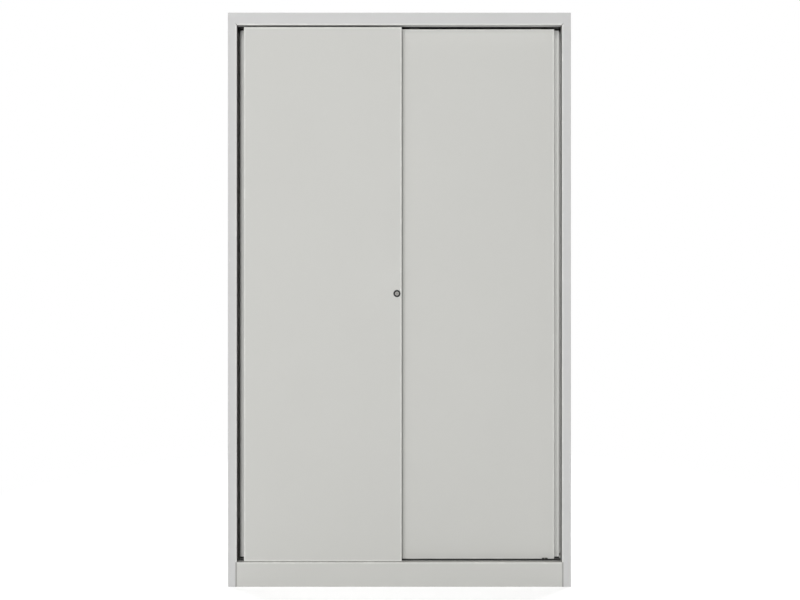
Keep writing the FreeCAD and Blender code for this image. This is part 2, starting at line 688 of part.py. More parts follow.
def door_screw_places(x0):
    """All screws of a door: two for each bracket and two for each guide."""
    places = []
    for x in roller_places(x0):
        for shift in (-BRACKET_SCREW_SPACING / 2, BRACKET_SCREW_SPACING / 2):
            places.append((x + shift, bracket_screw_z()))
        for shift in (-GUIDE_SCREW_SPACING / 2, GUIDE_SCREW_SPACING / 2):
            places.append((x + shift, guide_screw_z()))
    return places


def make_roller_brackets(x0, d1):
    """Plates on the back of a door's lower lip that carry the axles."""
    plates = []
    for x in roller_places(x0):
        low = DOOR_Z0 - BRACKET_DROP
        plate = box(x - BRACKET_WIDTH / 2, x + BRACKET_WIDTH / 2, d1, d1 + BRACKET_SHEET,
                    low, low + BRACKET_HEIGHT)
        plate = plate.cut(rod_y(x, ROLLER_Z, AXLE_R, d1 - EPS, d1 + BRACKET_SHEET + EPS))
        for shift in (-BRACKET_SCREW_SPACING / 2, BRACKET_SCREW_SPACING / 2):
            plate = plate.cut(rod_y(x + shift, bracket_screw_z(), SCREW_R, d1 - EPS,
                                    d1 + BRACKET_SHEET + EPS))
        plates.append(plate)
    return group(plates)


def make_axles(x0, d1):
    """Axles riveted flush into the lip, with a shoulder at the bracket and a head past the roller."""
    wheel = d1 + ROLLER_BACK_GAP
    axles = []
    for x in roller_places(x0):
        pin = rod_y(x, ROLLER_Z, AXLE_R, d1 - SHEET, wheel + ROLLER_WIDTH + SIDE_PLAY)
        shoulder = rod_y(x, ROLLER_Z, AXLE_SHOULDER_R, d1 + BRACKET_SHEET, wheel - SIDE_PLAY)
        start = wheel + ROLLER_WIDTH + SIDE_PLAY
        outer = rod_y(x, ROLLER_Z, AXLE_HEAD_R, start, start + AXLE_HEAD)
        rim = [edge for edge in outer.Edges if edge.BoundBox.YMin > FRONT_Y + start + AXLE_HEAD / 2]
        axles.append(join(pin, shoulder, outer.makeFillet(AXLE_HEAD / 2, rim[:1])))
    return group(axles)


def make_roller(x, d1):
    """Nylon wheel with a hub and recessed sides."""
    half = ROLLER_WIDTH / 2
    web = half - ROLLER_RECESS
    rim = ROLLER_R - RIM
    bore = AXLE_R + RUNNING_GAP
    outline = [(bore, -half), (HUB_R, -half), (HUB_R, -web), (rim, -web), (rim, -half)]
    outline += [(ROLLER_R - RUNNING_GAP, -half), (ROLLER_R, -half / 2), (ROLLER_R, half / 2)]
    outline += [(ROLLER_R - RUNNING_GAP, half), (rim, half), (rim, web), (HUB_R, web), (HUB_R, half)]
    outline += [(bore, half), (bore, -half)]
    wire = Part.makePolygon([V(radius, along, 0) for radius, along in outline])
    wheel = Part.Face(wire).revolve(V(0, 0, 0), V(0, 1, 0), 360)
    wheel.translate(V(x, FRONT_Y + d1 + ROLLER_BACK_GAP + half, ROLLER_Z))
    return wheel


def make_guides(x0, d1):
    """Nylon blocks on the back of a door's upper lip, with a tongue that runs in the top track."""
    top = DOOR_Z1 - GUIDE_TOP_DROP
    near = d1 + TONGUE_OFFSET - TONGUE / 2
    far = near + TONGUE
    tip = FASCIA_Z + SLOT_DEPTH - TONGUE_TOP_GAP
    step = top - GUIDE_STEP
    low = top - GUIDE_HEIGHT
    outline = [(d1, low), (d1 + GUIDE_BODY, low), (d1 + GUIDE_BODY, step - GUIDE_BODY)]
    outline += [(far, step), (far, tip), (near, tip), (near, top), (d1, top), (d1, low)]
    guides = []
    for x in roller_places(x0):
        start = x - GUIDE_WIDTH / 2
        wire = Part.makePolygon([place("dz", d, z, start) for d, z in outline])
        block = Part.Face(wire).extrude(V(GUIDE_WIDTH, 0, 0))
        for shift in (-GUIDE_SCREW_SPACING / 2, GUIDE_SCREW_SPACING / 2):
            block = block.cut(rod_y(x + shift, guide_screw_z(), SCREW_R, d1 - EPS, far + EPS))
            block = block.cut(rod_y(x + shift, guide_screw_z(), SCREW_HEAD_R, d1 + GUIDE_BODY, far + EPS))
        guides.append(block)
    return group(guides)


def make_door_screws(x0, d1):
    """Pan-head screws of the brackets and the guides."""
    screws = []
    for x, z in door_screw_places(x0):
        seat = d1 + (BRACKET_SHEET if z == bracket_screw_z() else GUIDE_BODY)
        shank = rod_y(x, z, SCREW_R, d1 - SHEET - SCREW_TAIL, seat)
        head = rod_y(x, z, SCREW_HEAD_R, seat, seat + SCREW_HEAD)
        rim = [edge for edge in head.Edges if edge.BoundBox.YMin > FRONT_Y + seat + SCREW_HEAD / 2]
        screws.append(join(shank, head.makeFillet(SCREW_HEAD / 2, rim[:1])))
    return group(screws)


# ---------------------------------------------------------------- lock
def make_lock_housing():
    """Black bezel and barrel that hold the plug."""
    face = DOOR_FRONT_D - BEZEL_PROUD
    bezel = rod_y(LOCK_X, LOCK_Z, BEZEL_R, face, DOOR_FRONT_D)
    rim = [edge for edge in bezel.Edges if edge.BoundBox.YMax < FRONT_Y + face + BEZEL_PROUD / 2]
    barrel = rod_y(LOCK_X, LOCK_Z, LOCK_BODY_R, DOOR_FRONT_D, DOOR_FRONT_D + LOCK_BODY_LENGTH)
    body = join(bezel.makeFillet(BEZEL_PROUD / 2, rim[:1]), barrel)
    bore = rod_y(LOCK_X, LOCK_Z, PLUG_R + RUNNING_GAP, face - EPS, DOOR_FRONT_D + LOCK_BODY_LENGTH + EPS)
    return body.cut(bore)


def make_lock_nut():
    """Hexagonal nut that clamps the barrel behind the skin."""
    skin = DOOR_FRONT_D + SHEET
    nut = hexagon(0, -FRONT_Y, LOCK_NUT_FLATS, 0, LOCK_NUT)
    nut.rotate(V(0, 0, 0), V(1, 0, 0), -90)
    nut.translate(V(LOCK_X, FRONT_Y + skin, LOCK_Z))
    return nut.cut(rod_y(LOCK_X, LOCK_Z, LOCK_BODY_R, skin - EPS, skin + LOCK_NUT + EPS))


def cam_front():
    """Depth of the front of the cam."""
    return DOOR_FRONT_D + LOCK_BODY_LENGTH + CAM_GAP


def make_lock_plug():
    """Turning plug with its keyway and the spigot for the cam."""
    face = DOOR_FRONT_D - BEZEL_PROUD + PLUG_SUNK
    plug = rod_y(LOCK_X, LOCK_Z, PLUG_R, face, DOOR_FRONT_D + LOCK_BODY_LENGTH)
    spigot = rod_y(LOCK_X, LOCK_Z, SPIGOT_R, DOOR_FRONT_D + LOCK_BODY_LENGTH, cam_front() + CAM_SHEET)
    keyway = box(LOCK_X - KEYWAY_WIDTH / 2, LOCK_X + KEYWAY_WIDTH / 2, face - EPS, face + KEYWAY_DEPTH,
                 LOCK_Z - KEYWAY_HEIGHT / 2, LOCK_Z + KEYWAY_HEIGHT / 2)
    tail = cam_front() + CAM_SHEET
    thread = rod_y(LOCK_X, LOCK_Z, CAM_SCREW_R, tail - CAM_SCREW_LENGTH, tail + EPS)
    return join(plug, spigot).cut(keyway).cut(thread)


def make_lock_cam():
    """Cam plate, pointing at the hinge side of the door while the lock is open."""
    d0 = cam_front()
    hub = rod_y(LOCK_X, LOCK_Z, CAM_HUB_R, d0, d0 + CAM_SHEET)
    arm = box(LOCK_X - CAM_LENGTH + CAM_WIDTH / 2, LOCK_X, d0, d0 + CAM_SHEET,
              LOCK_Z - CAM_WIDTH / 2, LOCK_Z + CAM_WIDTH / 2)
    tip = rod_y(LOCK_X - CAM_LENGTH + CAM_WIDTH / 2, LOCK_Z, CAM_WIDTH / 2, d0, d0 + CAM_SHEET)
    cam = join(hub, arm, tip)
    return cam.cut(rod_y(LOCK_X, LOCK_Z, SPIGOT_R, d0 - EPS, d0 + CAM_SHEET + EPS))


def make_cam_screw():
    """Screw that holds the cam on the plug."""
    seat = cam_front() + CAM_SHEET
    shank = rod_y(LOCK_X, LOCK_Z, CAM_SCREW_R, seat - CAM_SCREW_LENGTH, seat)
    head = rod_y(LOCK_X, LOCK_Z, CAM_SCREW_HEAD_R, seat, seat + CAM_SCREW_HEAD)
    rim = [edge for edge in head.Edges if edge.BoundBox.YMin > FRONT_Y + seat + CAM_SCREW_HEAD / 2]
    return join(shank, head.makeFillet(CAM_SCREW_HEAD / 2, rim[:1]))


def striker_left():
    """Left face of the striker's tab, beside the locked cam."""
    return LOCK_X + CAM_WIDTH / 2 + STRIKER_PLAY


def striker_rivets():
    """Rivets through the striker's foot, below its tab."""
    x = striker_left() + STRIKER_SHEET + (STRIKER_WIDTH - STRIKER_SHEET) / 2
    top = LOCK_Z - STRIKER_TOP_DROP - STRIKER_TAB
    return [(x, top - RIVET_PITCH / 2), (x, top - RIVET_PITCH * 3 / 2)]


def make_striker():
    """Angle on the front of the rear door whose tab stops the cam."""
    face = DOOR_FRONT_D + DOOR_PITCH
    left = striker_left()
    line = [(left, face - STRIKER_REACH), (left, face), (left + STRIKER_WIDTH, face)]
    top = LOCK_Z - STRIKER_TOP_DROP
    angle = folded("xd", line, -1, top - STRIKER_HEIGHT, top, STRIKER_SHEET, STRIKER_BEND)
    below_tab = box(left - EPS, left + STRIKER_WIDTH, face - STRIKER_REACH - EPS,
                    face - STRIKER_BEND - STRIKER_SHEET, top - STRIKER_HEIGHT - EPS, top - STRIKER_TAB)
    angle = angle.cut(below_tab)
    for x, z in striker_rivets():
        angle = angle.cut(rod_y(x, z, RIVET_R, face - STRIKER_SHEET - EPS, face + EPS))
    return angle


def make_striker_rivets():
    """Blind rivets that hold the striker to the rear door's skin."""
    face = DOOR_FRONT_D + DOOR_PITCH
    rivets = []
    for x, z in striker_rivets():
        start = face - STRIKER_SHEET
        head = rod_y(x, z, RIVET_HEAD_R, start - RIVET_HEAD, start)
        shank = rod_y(x, z, RIVET_R, start, face + SHEET)
        tail = rod_y(x, z, RIVET_HEAD_R, face + SHEET, face + SHEET + RIVET_HEAD)
        rivets.append(join(head, shank, tail))
    return group(rivets)


# ---------------------------------------------------------------- the whole cupboard
def carcass():
    """Everything that stands still."""
    side = make_side_panel()
    upright = make_upright()
    back = make_back_panel()
    nodes = {
        "side_panel_right": side,
        "side_panel_left": mirror_x(side),
        "top_panel": make_top_panel(),
        "bottom_panel": make_bottom_panel(),
        "plinth_front": make_front_plinth(),
        "plinth_rear": make_rear_plinth(),
        "back_panel_right": back,
        "back_panel_left": mirror_x(back),
        "back_joint_strip": make_back_strip(),
        "top_stiffener": make_hat(TOP_UNDER, -1, WALL - 2 * SHEET),
        "bottom_stiffener": make_hat(DECK_UNDER, -1, WALL),
        "bottom_track": make_bottom_track(),
        "top_track": make_top_track(),
        "track_stops": make_track_stops(),
        "upright_front_right": upright,
        "upright_front_left": mirror_x(upright),
        "upright_rear_right": to_rear(upright),
        "upright_rear_left": mirror_x(to_rear(upright)),
        "shelf_clips": make_clips(),
        "foot_brackets": make_foot_brackets(),
        "foot_nuts": make_foot_nuts(),
        "foot_hole_caps": make_foot_caps(),
    }
    for number, z in enumerate(shelf_heights(), start=1):
        nodes["shelf_%d" % number] = make_shelf(z)
    return nodes


def feet():
    """The four levelling feet, each a stud and a pad."""
    nodes = {}
    names = ["front_left", "front_right", "rear_right", "rear_left"]
    for name, (x, d) in zip(names, foot_places()):
        nodes["foot_screw_" + name] = make_foot_screw(x, d)
        nodes["foot_pad_" + name] = make_foot_pad(x, d)
    return nodes


def door_fittings(name, x0, d0):
    """What hangs on a door and is the same for both doors."""
    d1 = d0 + DOOR_THICKNESS
    nodes = {
        name + "_door_stiffener": make_door_stiffener(x0, d0),
        name + "_door_roller_brackets": make_roller_brackets(x0, d1),
        name + "_door_axles": make_axles(x0, d1),
        name + "_door_top_guides": make_guides(x0, d1),
        name + "_door_screws": make_door_screws(x0, d1),
    }
    for hand, x in zip(("left", "right"), roller_places(x0)):
        nodes["roller_%s_%s" % (name, hand)] = make_roller(x, d1)
    return nodes


def doors():
    """Both doors with their rollers, the lock and the striker."""
    nodes = {"front_door_panel": make_front_door(), "rear_door_panel": make_rear_door()}
    nodes.update(door_fittings("front", DOORS_LEFT, DOOR_FRONT_D))
    nodes.update(door_fittings("rear", REAR_DOOR_LEFT, DOOR_FRONT_D + DOOR_PITCH))
    nodes["lock_housing"] = make_lock_housing()
    nodes["lock_nut"] = make_lock_nut()
    nodes["lock_plug"] = make_lock_plug()
    nodes["lock_cam"] = make_lock_cam()
    nodes["cam_screw"] = make_cam_screw()
    nodes["lock_striker"] = make_striker()
    nodes["striker_rivets"] = make_striker_rivets()
    return nodes


def main():
    """Build every node and write it as STEP."""
    os.makedirs("parts", exist_ok=True)
    nodes = {}
    nodes.update(carcass())
    nodes.update(feet())
    nodes.update(doors())
    for name, shape in nodes.items():
        shape.exportStep("parts/" + name + ".step")
        print("%-28s %3d solids %12.1f mm3" % (name, len(shape.Solids), shape.Volume))
    print(len(nodes), "nodes, door travel", DOOR_WIDTH - DOOR_OVERLAP, "mm")


main()
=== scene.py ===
# %% [markdown]
# # A steel cupboard with two sliding doors
#
# The real cupboard is folded from one-millimetre sheet steel and powder coated in a light, warm grey.
# Two door pans run past each other on nylon rollers, a cam lock in the front door reaches a striker on
# the rear one, and four shelves hang on clips in perforated uprights.
#
# The construction comes in as a fixed frame of CAD nodes. This lesson dresses it: every visible piece
# is modelled again by hand, with the folds, welds and threads that a plate shop leaves, and every
# surface gets a finish made of nodes.

# %% The construction, loaded as the frame
import bmesh
import bpy
import json
import math
from mathutils import Matrix, Vector


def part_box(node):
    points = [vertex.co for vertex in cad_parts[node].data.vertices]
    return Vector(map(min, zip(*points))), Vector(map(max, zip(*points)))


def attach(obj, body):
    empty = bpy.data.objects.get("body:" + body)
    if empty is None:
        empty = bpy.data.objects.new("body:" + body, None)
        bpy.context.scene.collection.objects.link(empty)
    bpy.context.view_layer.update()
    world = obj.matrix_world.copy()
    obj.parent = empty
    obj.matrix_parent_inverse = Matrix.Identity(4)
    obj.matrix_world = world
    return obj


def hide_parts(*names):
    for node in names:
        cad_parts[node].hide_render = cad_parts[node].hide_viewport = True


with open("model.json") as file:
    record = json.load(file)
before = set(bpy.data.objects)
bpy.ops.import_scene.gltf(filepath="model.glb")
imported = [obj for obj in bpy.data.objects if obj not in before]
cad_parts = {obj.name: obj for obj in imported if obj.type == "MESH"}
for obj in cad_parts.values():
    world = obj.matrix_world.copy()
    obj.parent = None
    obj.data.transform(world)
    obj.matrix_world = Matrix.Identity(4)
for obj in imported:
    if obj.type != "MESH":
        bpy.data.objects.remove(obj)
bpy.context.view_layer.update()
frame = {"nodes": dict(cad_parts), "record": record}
nodes = frame["nodes"]

# %% [markdown]
# ## Sizes
#
# The outer sizes are read from the nodes, so nothing has to be fitted. What a node's box can't tell,
# such as the thickness of the sheet and the radius of a fold, is named here once, in metres.

# %% Sizes that the whole cupboard shares
MM = 0.001
SHEET = 1.0 * MM          # carcass, doors and shelves
BEND = 1.6 * MM           # outer radius of a fold
FOLD_STEPS = 5            # faces round a fold
RIGHT = Vector((1, 0, 0))
BACK = Vector((0, 1, 0))
UP = Vector((0, 0, 1))

front_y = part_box("side_panel_right")[0].y
top_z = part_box("top_panel")[1].z
half_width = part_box("side_panel_right")[1].x
print("width %.3f, height %.3f, front plane y %.3f" % (2 * half_width, top_z, front_y))

# %% [markdown]
# ## Camera
#
# The cupboard is seen square on, from the height of a standing person's chest. The lens is kept level,
# so the upright edges stay parallel, and the frame is shifted down instead of tilting the camera.

# %% The camera
IMAGE_WIDTH = 800
IMAGE_HEIGHT = 600
AXIS_COLUMN = 399.4       # where the lens axis meets the picture
AXIS_ROW = 262.0
EYE = Vector((0, front_y - 3.1, 1.1315))
LENS = 40.06

camera = bpy.data.objects.new("camera", bpy.data.cameras.new("camera"))
bpy.context.scene.collection.objects.link(camera)
camera.location = EYE
camera.rotation_euler = (math.pi / 2, 0, 0)
camera.data.lens = LENS
camera.data.sensor_width = 36.0
camera.data.shift_x = (IMAGE_WIDTH / 2 - AXIS_COLUMN) / IMAGE_WIDTH
camera.data.shift_y = (AXIS_ROW - IMAGE_HEIGHT / 2) / IMAGE_WIDTH
bpy.context.scene.camera = camera
print("shift %.5f, %.5f" % (camera.data.shift_x, camera.data.shift_y))
# %% [markdown]
# ## Light and floor
#
# Painted sheet looks flat under even light: it is the soft shadow beside each step that shows how deep
# the doors lie. So two tall softboxes stand far back, one to the left of the camera and one close to
# it, which opens the shadows in the narrow gaps beside the doors. A third one higher up puts a shadow
# under the fascia, and a low one lights the plinth. The world adds a little from all round. Two lamps
# behind and one above only reach faces that the camera can't see, so that they aren't dull from
# another side.
#
# The levels add up to a plain one: a colour renders a little darker than it is written.

# %% Softboxes
FRONT_AIM = Vector((0, front_y, 1.05))
MIDDLE = Vector((0, 0, 1.0))
WORLD_LEVEL = 0.05        # share of a colour that the world alone would show
# name, what it is turned to, degrees round from the front, degrees up, metres away, width, height, level
SOFTBOXES = (
    ("left_light", FRONT_AIM, -26.0, 9.0, 14.0, 1.4, 4.0, 0.21),
    ("middle_light", FRONT_AIM, -4.0, 9.0, 14.0, 1.4, 4.0, 0.14),
    ("upper_light", FRONT_AIM, -9.0, 28.0, 9.0, 1.4, 2.4, 0.23),
    ("low_light", FRONT_AIM, -8.0, -2.0, 14.0, 1.4, 0.8, 0.21),
    ("left_back_light", MIDDLE, -130.0, 25.0, 5.0, 2.0, 2.0, 0.55),
    ("right_back_light", MIDDLE, 130.0, 25.0, 5.0, 2.0, 2.0, 0.55),
    ("top_light", MIDDLE, 180.0, 80.0, 5.0, 2.0, 2.0, 0.22),
)


def add_softbox(name, aim, round_degrees, up_degrees, away, width, height, level):
    """Rectangular lamp turned to aim, which lights a surface there that faces it to the given level."""
    turn = math.radians(round_degrees)
    rise = math.radians(up_degrees)
    way = Vector((math.sin(turn) * math.cos(rise), -math.cos(turn) * math.cos(rise), math.sin(rise)))
    lamp = bpy.data.lights.new(name, "AREA")
    lamp.shape = "RECTANGLE"
    lamp.size = width
    lamp.size_y = height
    lamp.energy = level * math.pi ** 2 * away ** 2
    holder = bpy.data.objects.new(name, lamp)
    bpy.context.scene.collection.objects.link(holder)
    holder.location = aim + way * away
    holder.rotation_euler = (-way).to_track_quat("-Z", "Y").to_euler()


for softbox in SOFTBOXES:
    add_softbox(*softbox)
print(len(bpy.data.lights), "lamps")

# %% [markdown]
# World, floor and finishes are all trees of nodes. A socket of a node takes either another node's
# output or a plain value, so one helper fills the sockets of a new node in their order with both.

# %% Building blocks for shader trees
WHITE = (1, 1, 1, 1)


def socket_or_value(tree, source, target):
    """Join a socket to the target, or write a plain value into it."""
    if isinstance(source, bpy.types.NodeSocket):
        tree.links.new(source, target)
    else:
        target.default_value = source


def wired(tree, kind, *sources, operation=None):
    """Outputs of a new node whose first sockets are filled from sources."""
    node = tree.nodes.new(kind)
    if operation:
        node.operation = operation
    for source, target in zip(sources, node.inputs):
        socket_or_value(tree, source, target)
    return node.outputs


def empty_tree(owner):
    """Node tree of a world or a material, with nothing in it."""
    owner.use_nodes = True
    owner.node_tree.nodes.clear()
    return owner.node_tree

# %% [markdown]
# The world has two strengths. Camera, gloss and transmission rays meet plain white at strength 1, so
# the background is white and metal mirrors a white room. All other rays get the lower fill level.

# %% The white room
def seen_directly(tree):
    """1 for camera, gloss and transmission rays, 0 for the rays that light a surface."""
    rays = tree.nodes.new("ShaderNodeLightPath").outputs
    seen = rays["Is Camera Ray"]
    for other in ("Is Glossy Ray", "Is Transmission Ray"):
        seen = wired(tree, "ShaderNodeMath", seen, rays[other], operation="MAXIMUM")[0]
    return seen


world = bpy.data.worlds.new("white_room")
bpy.context.scene.world = world
tree = empty_tree(world)
fill = wired(tree, "ShaderNodeBackground", WHITE, WORLD_LEVEL)[0]
backdrop = wired(tree, "ShaderNodeBackground", WHITE, 1.0)[0]
room = wired(tree, "ShaderNodeMixShader", seen_directly(tree), fill, backdrop)[0]
wired(tree, "ShaderNodeOutputWorld", room)
bpy.context.scene.view_settings.view_transform = "Standard"
print("world:", len(tree.nodes), "nodes")

# %% [markdown]
# The floor is a large pale sheet. It lights the object as matt white paint would. The camera sees it
# lifted to paper white by a little emission, with the cupboard's own shadow on it, and two metres away
# it has turned into the white of the backdrop. From below it can be looked through, as the cupboard's
# underside would be hidden otherwise.

# %% The floor
FLOOR_REACH = 60.0
FLOOR_COLOUR = (0.80, 0.80, 0.80, 1)
FLOOR_GLOW = 0.60
SHADOW_REACH = (0.9, 2.2)     # metres from the middle of the cupboard, where the shadow fades out

bpy.ops.mesh.primitive_plane_add(size=FLOOR_REACH, location=(0, 0, 0))
floor = bpy.context.object
floor.name = "floor"
paper = bpy.data.materials.new("pale_floor")
tree = empty_tree(paper)
matt = wired(tree, "ShaderNodeBsdfDiffuse", FLOOR_COLOUR)[0]
glow = wired(tree, "ShaderNodeEmission", WHITE, FLOOR_GLOW)[0]
lifted = wired(tree, "ShaderNodeAddShader", matt, glow)[0]
place = tree.nodes.new("ShaderNodeTexCoord").outputs["Object"]
distance = wired(tree, "ShaderNodeVectorMath", place, operation="LENGTH")["Value"]
fade = wired(tree, "ShaderNodeMapRange", distance, *SHADOW_REACH)[0]
blank = wired(tree, "ShaderNodeEmission", WHITE, 1.0)[0]
faded = wired(tree, "ShaderNodeMixShader", fade, lifted, blank)[0]
shown = wired(tree, "ShaderNodeMixShader", seen_directly(tree), matt, faded)[0]
underside = tree.nodes.new("ShaderNodeNewGeometry").outputs["Backfacing"]
clear = tree.nodes.new("ShaderNodeBsdfTransparent").outputs[0]
one_sided = wired(tree, "ShaderNodeMixShader", underside, shown, clear)[0]
wired(tree, "ShaderNodeOutputMaterial", one_sided)
floor.data.materials.append(paper)
print("floor:", len(tree.nodes), "nodes")
# %% [markdown]
# ## Finishes
#
# A finish is read in three ranges. From across the room it is a colour. At arm's length it is tone: dust
# on a ledge, hand marks round the lock, a painted highlight along a fold, painted shade in a recess.
# Close up it is relief: the orange peel of powder coat, the spangle of zinc, the grain of a mould. Each
# of these effects is a node group that several materials share, and a group only puts out what changes
# over the surface.

# %% Nodes that the groups are made of
ORIGIN = (0, 0, 0)


def calculate(tree, operation, first, second=0.0, third=0.0):
    """Math node."""
    return wired(tree, "ShaderNodeMath", first, second, third, operation=operation)[0]


def calculate_vector(tree, operation, first, second=ORIGIN, result="Vector"):
    """Vector Math node."""
    return wired(tree, "ShaderNodeVectorMath", first, second, operation=operation)[result]


def split_xyz(tree, vector):
    """The three parts of a vector."""
    return wired(tree, "ShaderNodeSeparateXYZ", vector)


def ramp(tree, value, low, high, start=0.0, end=1.0):
    """Smooth step of a value from low to high, written as start to end."""
    result = wired(tree, "ShaderNodeMapRange", value, low, high, start, end)[0]
    result.node.interpolation_type = "SMOOTHSTEP"
    return result


def noise(tree, place, size, detail=2.0, roughness=0.5):
    """Noise whose blotches are about size metres wide, from 0 to 1."""
    node = tree.nodes.new("ShaderNodeTexNoise")
    node.inputs["Detail"].default_value = detail
    node.inputs["Roughness"].default_value = roughness
    tree.links.new(place, node.inputs["Vector"])
    tree.links.new(calculate(tree, "DIVIDE", 1.0, size), node.inputs["Scale"])
    return node.outputs["Fac"]

# %% [markdown]
# A group's inputs get their kind from their first values: one number is a plain value, three are a
# place, four a colour. The group ends with a single output.

# %% Starting and ending a group
SOCKET_KINDS = {1: "NodeSocketFloat", 3: "NodeSocketVector", 4: "NodeSocketColor"}


def start_group(name, **inputs):
    """Empty shader group with named inputs, and the sockets that its own nodes read them from."""
    tree = bpy.data.node_groups.new(name, "ShaderNodeTree")
    for label, value in inputs.items():
        numbers = len(value) if isinstance(value, tuple) else 1
        socket = tree.interface.new_socket(name=label, in_out="INPUT", socket_type=SOCKET_KINDS[numbers])
        socket.default_value = value
    return tree, tree.nodes.new("NodeGroupInput").outputs


def end_group(tree, label, source, numbers=1):
    """Put a socket out of the group."""
    tree.interface.new_socket(name=label, in_out="OUTPUT", socket_type=SOCKET_KINDS[numbers])
    wired(tree, "NodeGroupOutput", source)
    print("%s: %d nodes" % (tree.name, len(tree.nodes)))

# %% [markdown]
# Powder coat is sprayed on dry and melts in an oven. It levels, but not quite: the skin keeps a fine
# dimple about a millimetre wide and a much lazier wave. The same group, finer and deeper, is the grain
# of moulded plastic and rubber.

# %% Orange peel
FINE_SHARE = 0.7          # of the height, the rest is the lazy wave
WAVE_TIMES = 9.0          # how much wider than a dimple the wave is

orange_peel, given = start_group("orange_peel", Place=ORIGIN, Size=0.0012)
dimples = noise(orange_peel, given["Place"], given["Size"])
wave_size = calculate(orange_peel, "MULTIPLY", given["Size"], WAVE_TIMES)
waves = noise(orange_peel, given["Place"], wave_size, 1.0)
dimples = calculate(orange_peel, "MULTIPLY", dimples, FINE_SHARE)
height = calculate(orange_peel, "MULTIPLY_ADD", waves, 1 - FINE_SHARE, dimples)
end_group(orange_peel, "Height", height)

# %% [markdown]
# No sprayed colour is quite even. The coat is a shade lighter where the gun lingered, and single grains
# of powder stay a little darker. Both stay within a few parts in a hundred.

# %% Uneven colour
GRAIN_SIZE = 0.0007

uneven, given = start_group("uneven_colour", Place=ORIGIN, Colour=WHITE, Size=0.3, Amount=0.03)
cloud = noise(uneven, given["Place"], given["Size"], 3.0)
grain = noise(uneven, given["Place"], GRAIN_SIZE, 0.0)
mixed = calculate(uneven, "ADD", cloud, grain)
mixed = calculate(uneven, "SUBTRACT", mixed, 1.0)
level = calculate(uneven, "MULTIPLY_ADD", mixed, given["Amount"], 1.0)
tinted = calculate_vector(uneven, "SCALE", given["Colour"])
uneven.links.new(level, tinted.node.inputs["Scale"])
end_group(uneven, "Colour", tinted, 4)

# %% [markdown]
# Each fold is painted lighter: a painted highlight that stands in for the light a rounded fold catches.
# The group knows the box of its piece. A point on an edge of the box is close to two of its faces at
# once, so the second smallest of the three distances to the faces is the distance to the nearest edge.
# Below the lowest height nothing is painted. With a dark colour the same mask paints shade along the
# edges of the back panels.

# %% Rubbed edges
BREAK_SIZE = 0.035        # length of the painted stretches
BREAKS = (0.48, 0.66)     # values of the noise between which a stretch fades in
UNBROKEN_SHARE = 0.6       # share of the painted highlight between those stretches

painted_edge_light_and_shade, given = start_group("painted_edge_light_and_shade", Place=ORIGIN, Low=ORIGIN, High=(1, 1, 1), Reach=0.008,
                                  Lowest=-10.0)
from_low = calculate_vector(painted_edge_light_and_shade, "SUBTRACT", given["Place"], given["Low"])
from_high = calculate_vector(painted_edge_light_and_shade, "SUBTRACT", given["High"], given["Place"])
nearest = calculate_vector(painted_edge_light_and_shade, "MINIMUM", from_low, from_high)
across, deep, high = split_xyz(painted_edge_light_and_shade, nearest)
smaller = calculate(painted_edge_light_and_shade, "MINIMUM", across, deep)
larger = calculate(painted_edge_light_and_shade, "MAXIMUM", across, deep)
larger = calculate(painted_edge_light_and_shade, "MINIMUM", larger, high)
to_edge = calculate(painted_edge_light_and_shade, "MAXIMUM", smaller, larger)
close = ramp(painted_edge_light_and_shade, to_edge, given["Reach"], 0.0)
broken = ramp(painted_edge_light_and_shade, noise(painted_edge_light_and_shade, given["Place"], BREAK_SIZE, 4.0), *BREAKS)
broken = calculate(painted_edge_light_and_shade, "MULTIPLY_ADD", broken, 1 - UNBROKEN_SHARE, UNBROKEN_SHARE)
mask = calculate(painted_edge_light_and_shade, "MULTIPLY", close, broken)
up = split_xyz(painted_edge_light_and_shade, given["Place"])["Z"]
above = calculate(painted_edge_light_and_shade, "GREATER_THAN", up, given["Lowest"])
end_group(painted_edge_light_and_shade, "Mask", calculate(painted_edge_light_and_shade, "MULTIPLY", mask, above))

# %% [markdown]
# The lips behind the front flanges, on both sides of the door opening, are painted dark: a painted shade
# of the narrow recess there. They are found by their place: close to the edge of the opening, and behind
# the front plane.

# %% Painted shade in the lips
LIP_SHADE_NEAR = (3 * MM, 1 * MM)      # from the opening's edge, where the painted shade fades in
LIP_SHADE_BEHIND = (1 * MM, 3 * MM)    # from the front plane


def outward_from(tree, sideways, edge):
    """Distance past the edge of the opening, on either side of the cupboard."""
    return calculate(tree, "SUBTRACT", calculate(tree, "ABSOLUTE", sideways), edge)


painted_lip_shade, given = start_group("painted_lip_shade", Place=ORIGIN, Edge=0.0, Front=0.0)
parts = split_xyz(painted_lip_shade, given["Place"])
near_opening = ramp(painted_lip_shade, outward_from(painted_lip_shade, parts["X"], given["Edge"]), *LIP_SHADE_NEAR)
behind = ramp(painted_lip_shade, calculate(painted_lip_shade, "SUBTRACT", parts["Y"], given["Front"]), *LIP_SHADE_BEHIND)
end_group(painted_lip_shade, "Mask", calculate(painted_lip_shade, "MULTIPLY", near_opening, behind))

# %% [markdown]
# Where the plinth stands flush beside the side flanges, a fine upright line is painted dark: a painted
# shade of the seam between them. It starts at the edge of the opening and ends at the top of the plinth.

# %% Painted shade in the flush seam
SEAM_START = (-0.3 * MM, 0.3 * MM)    # outwards from the opening's edge
SEAM_END = (6.5 * MM, 4.0 * MM)

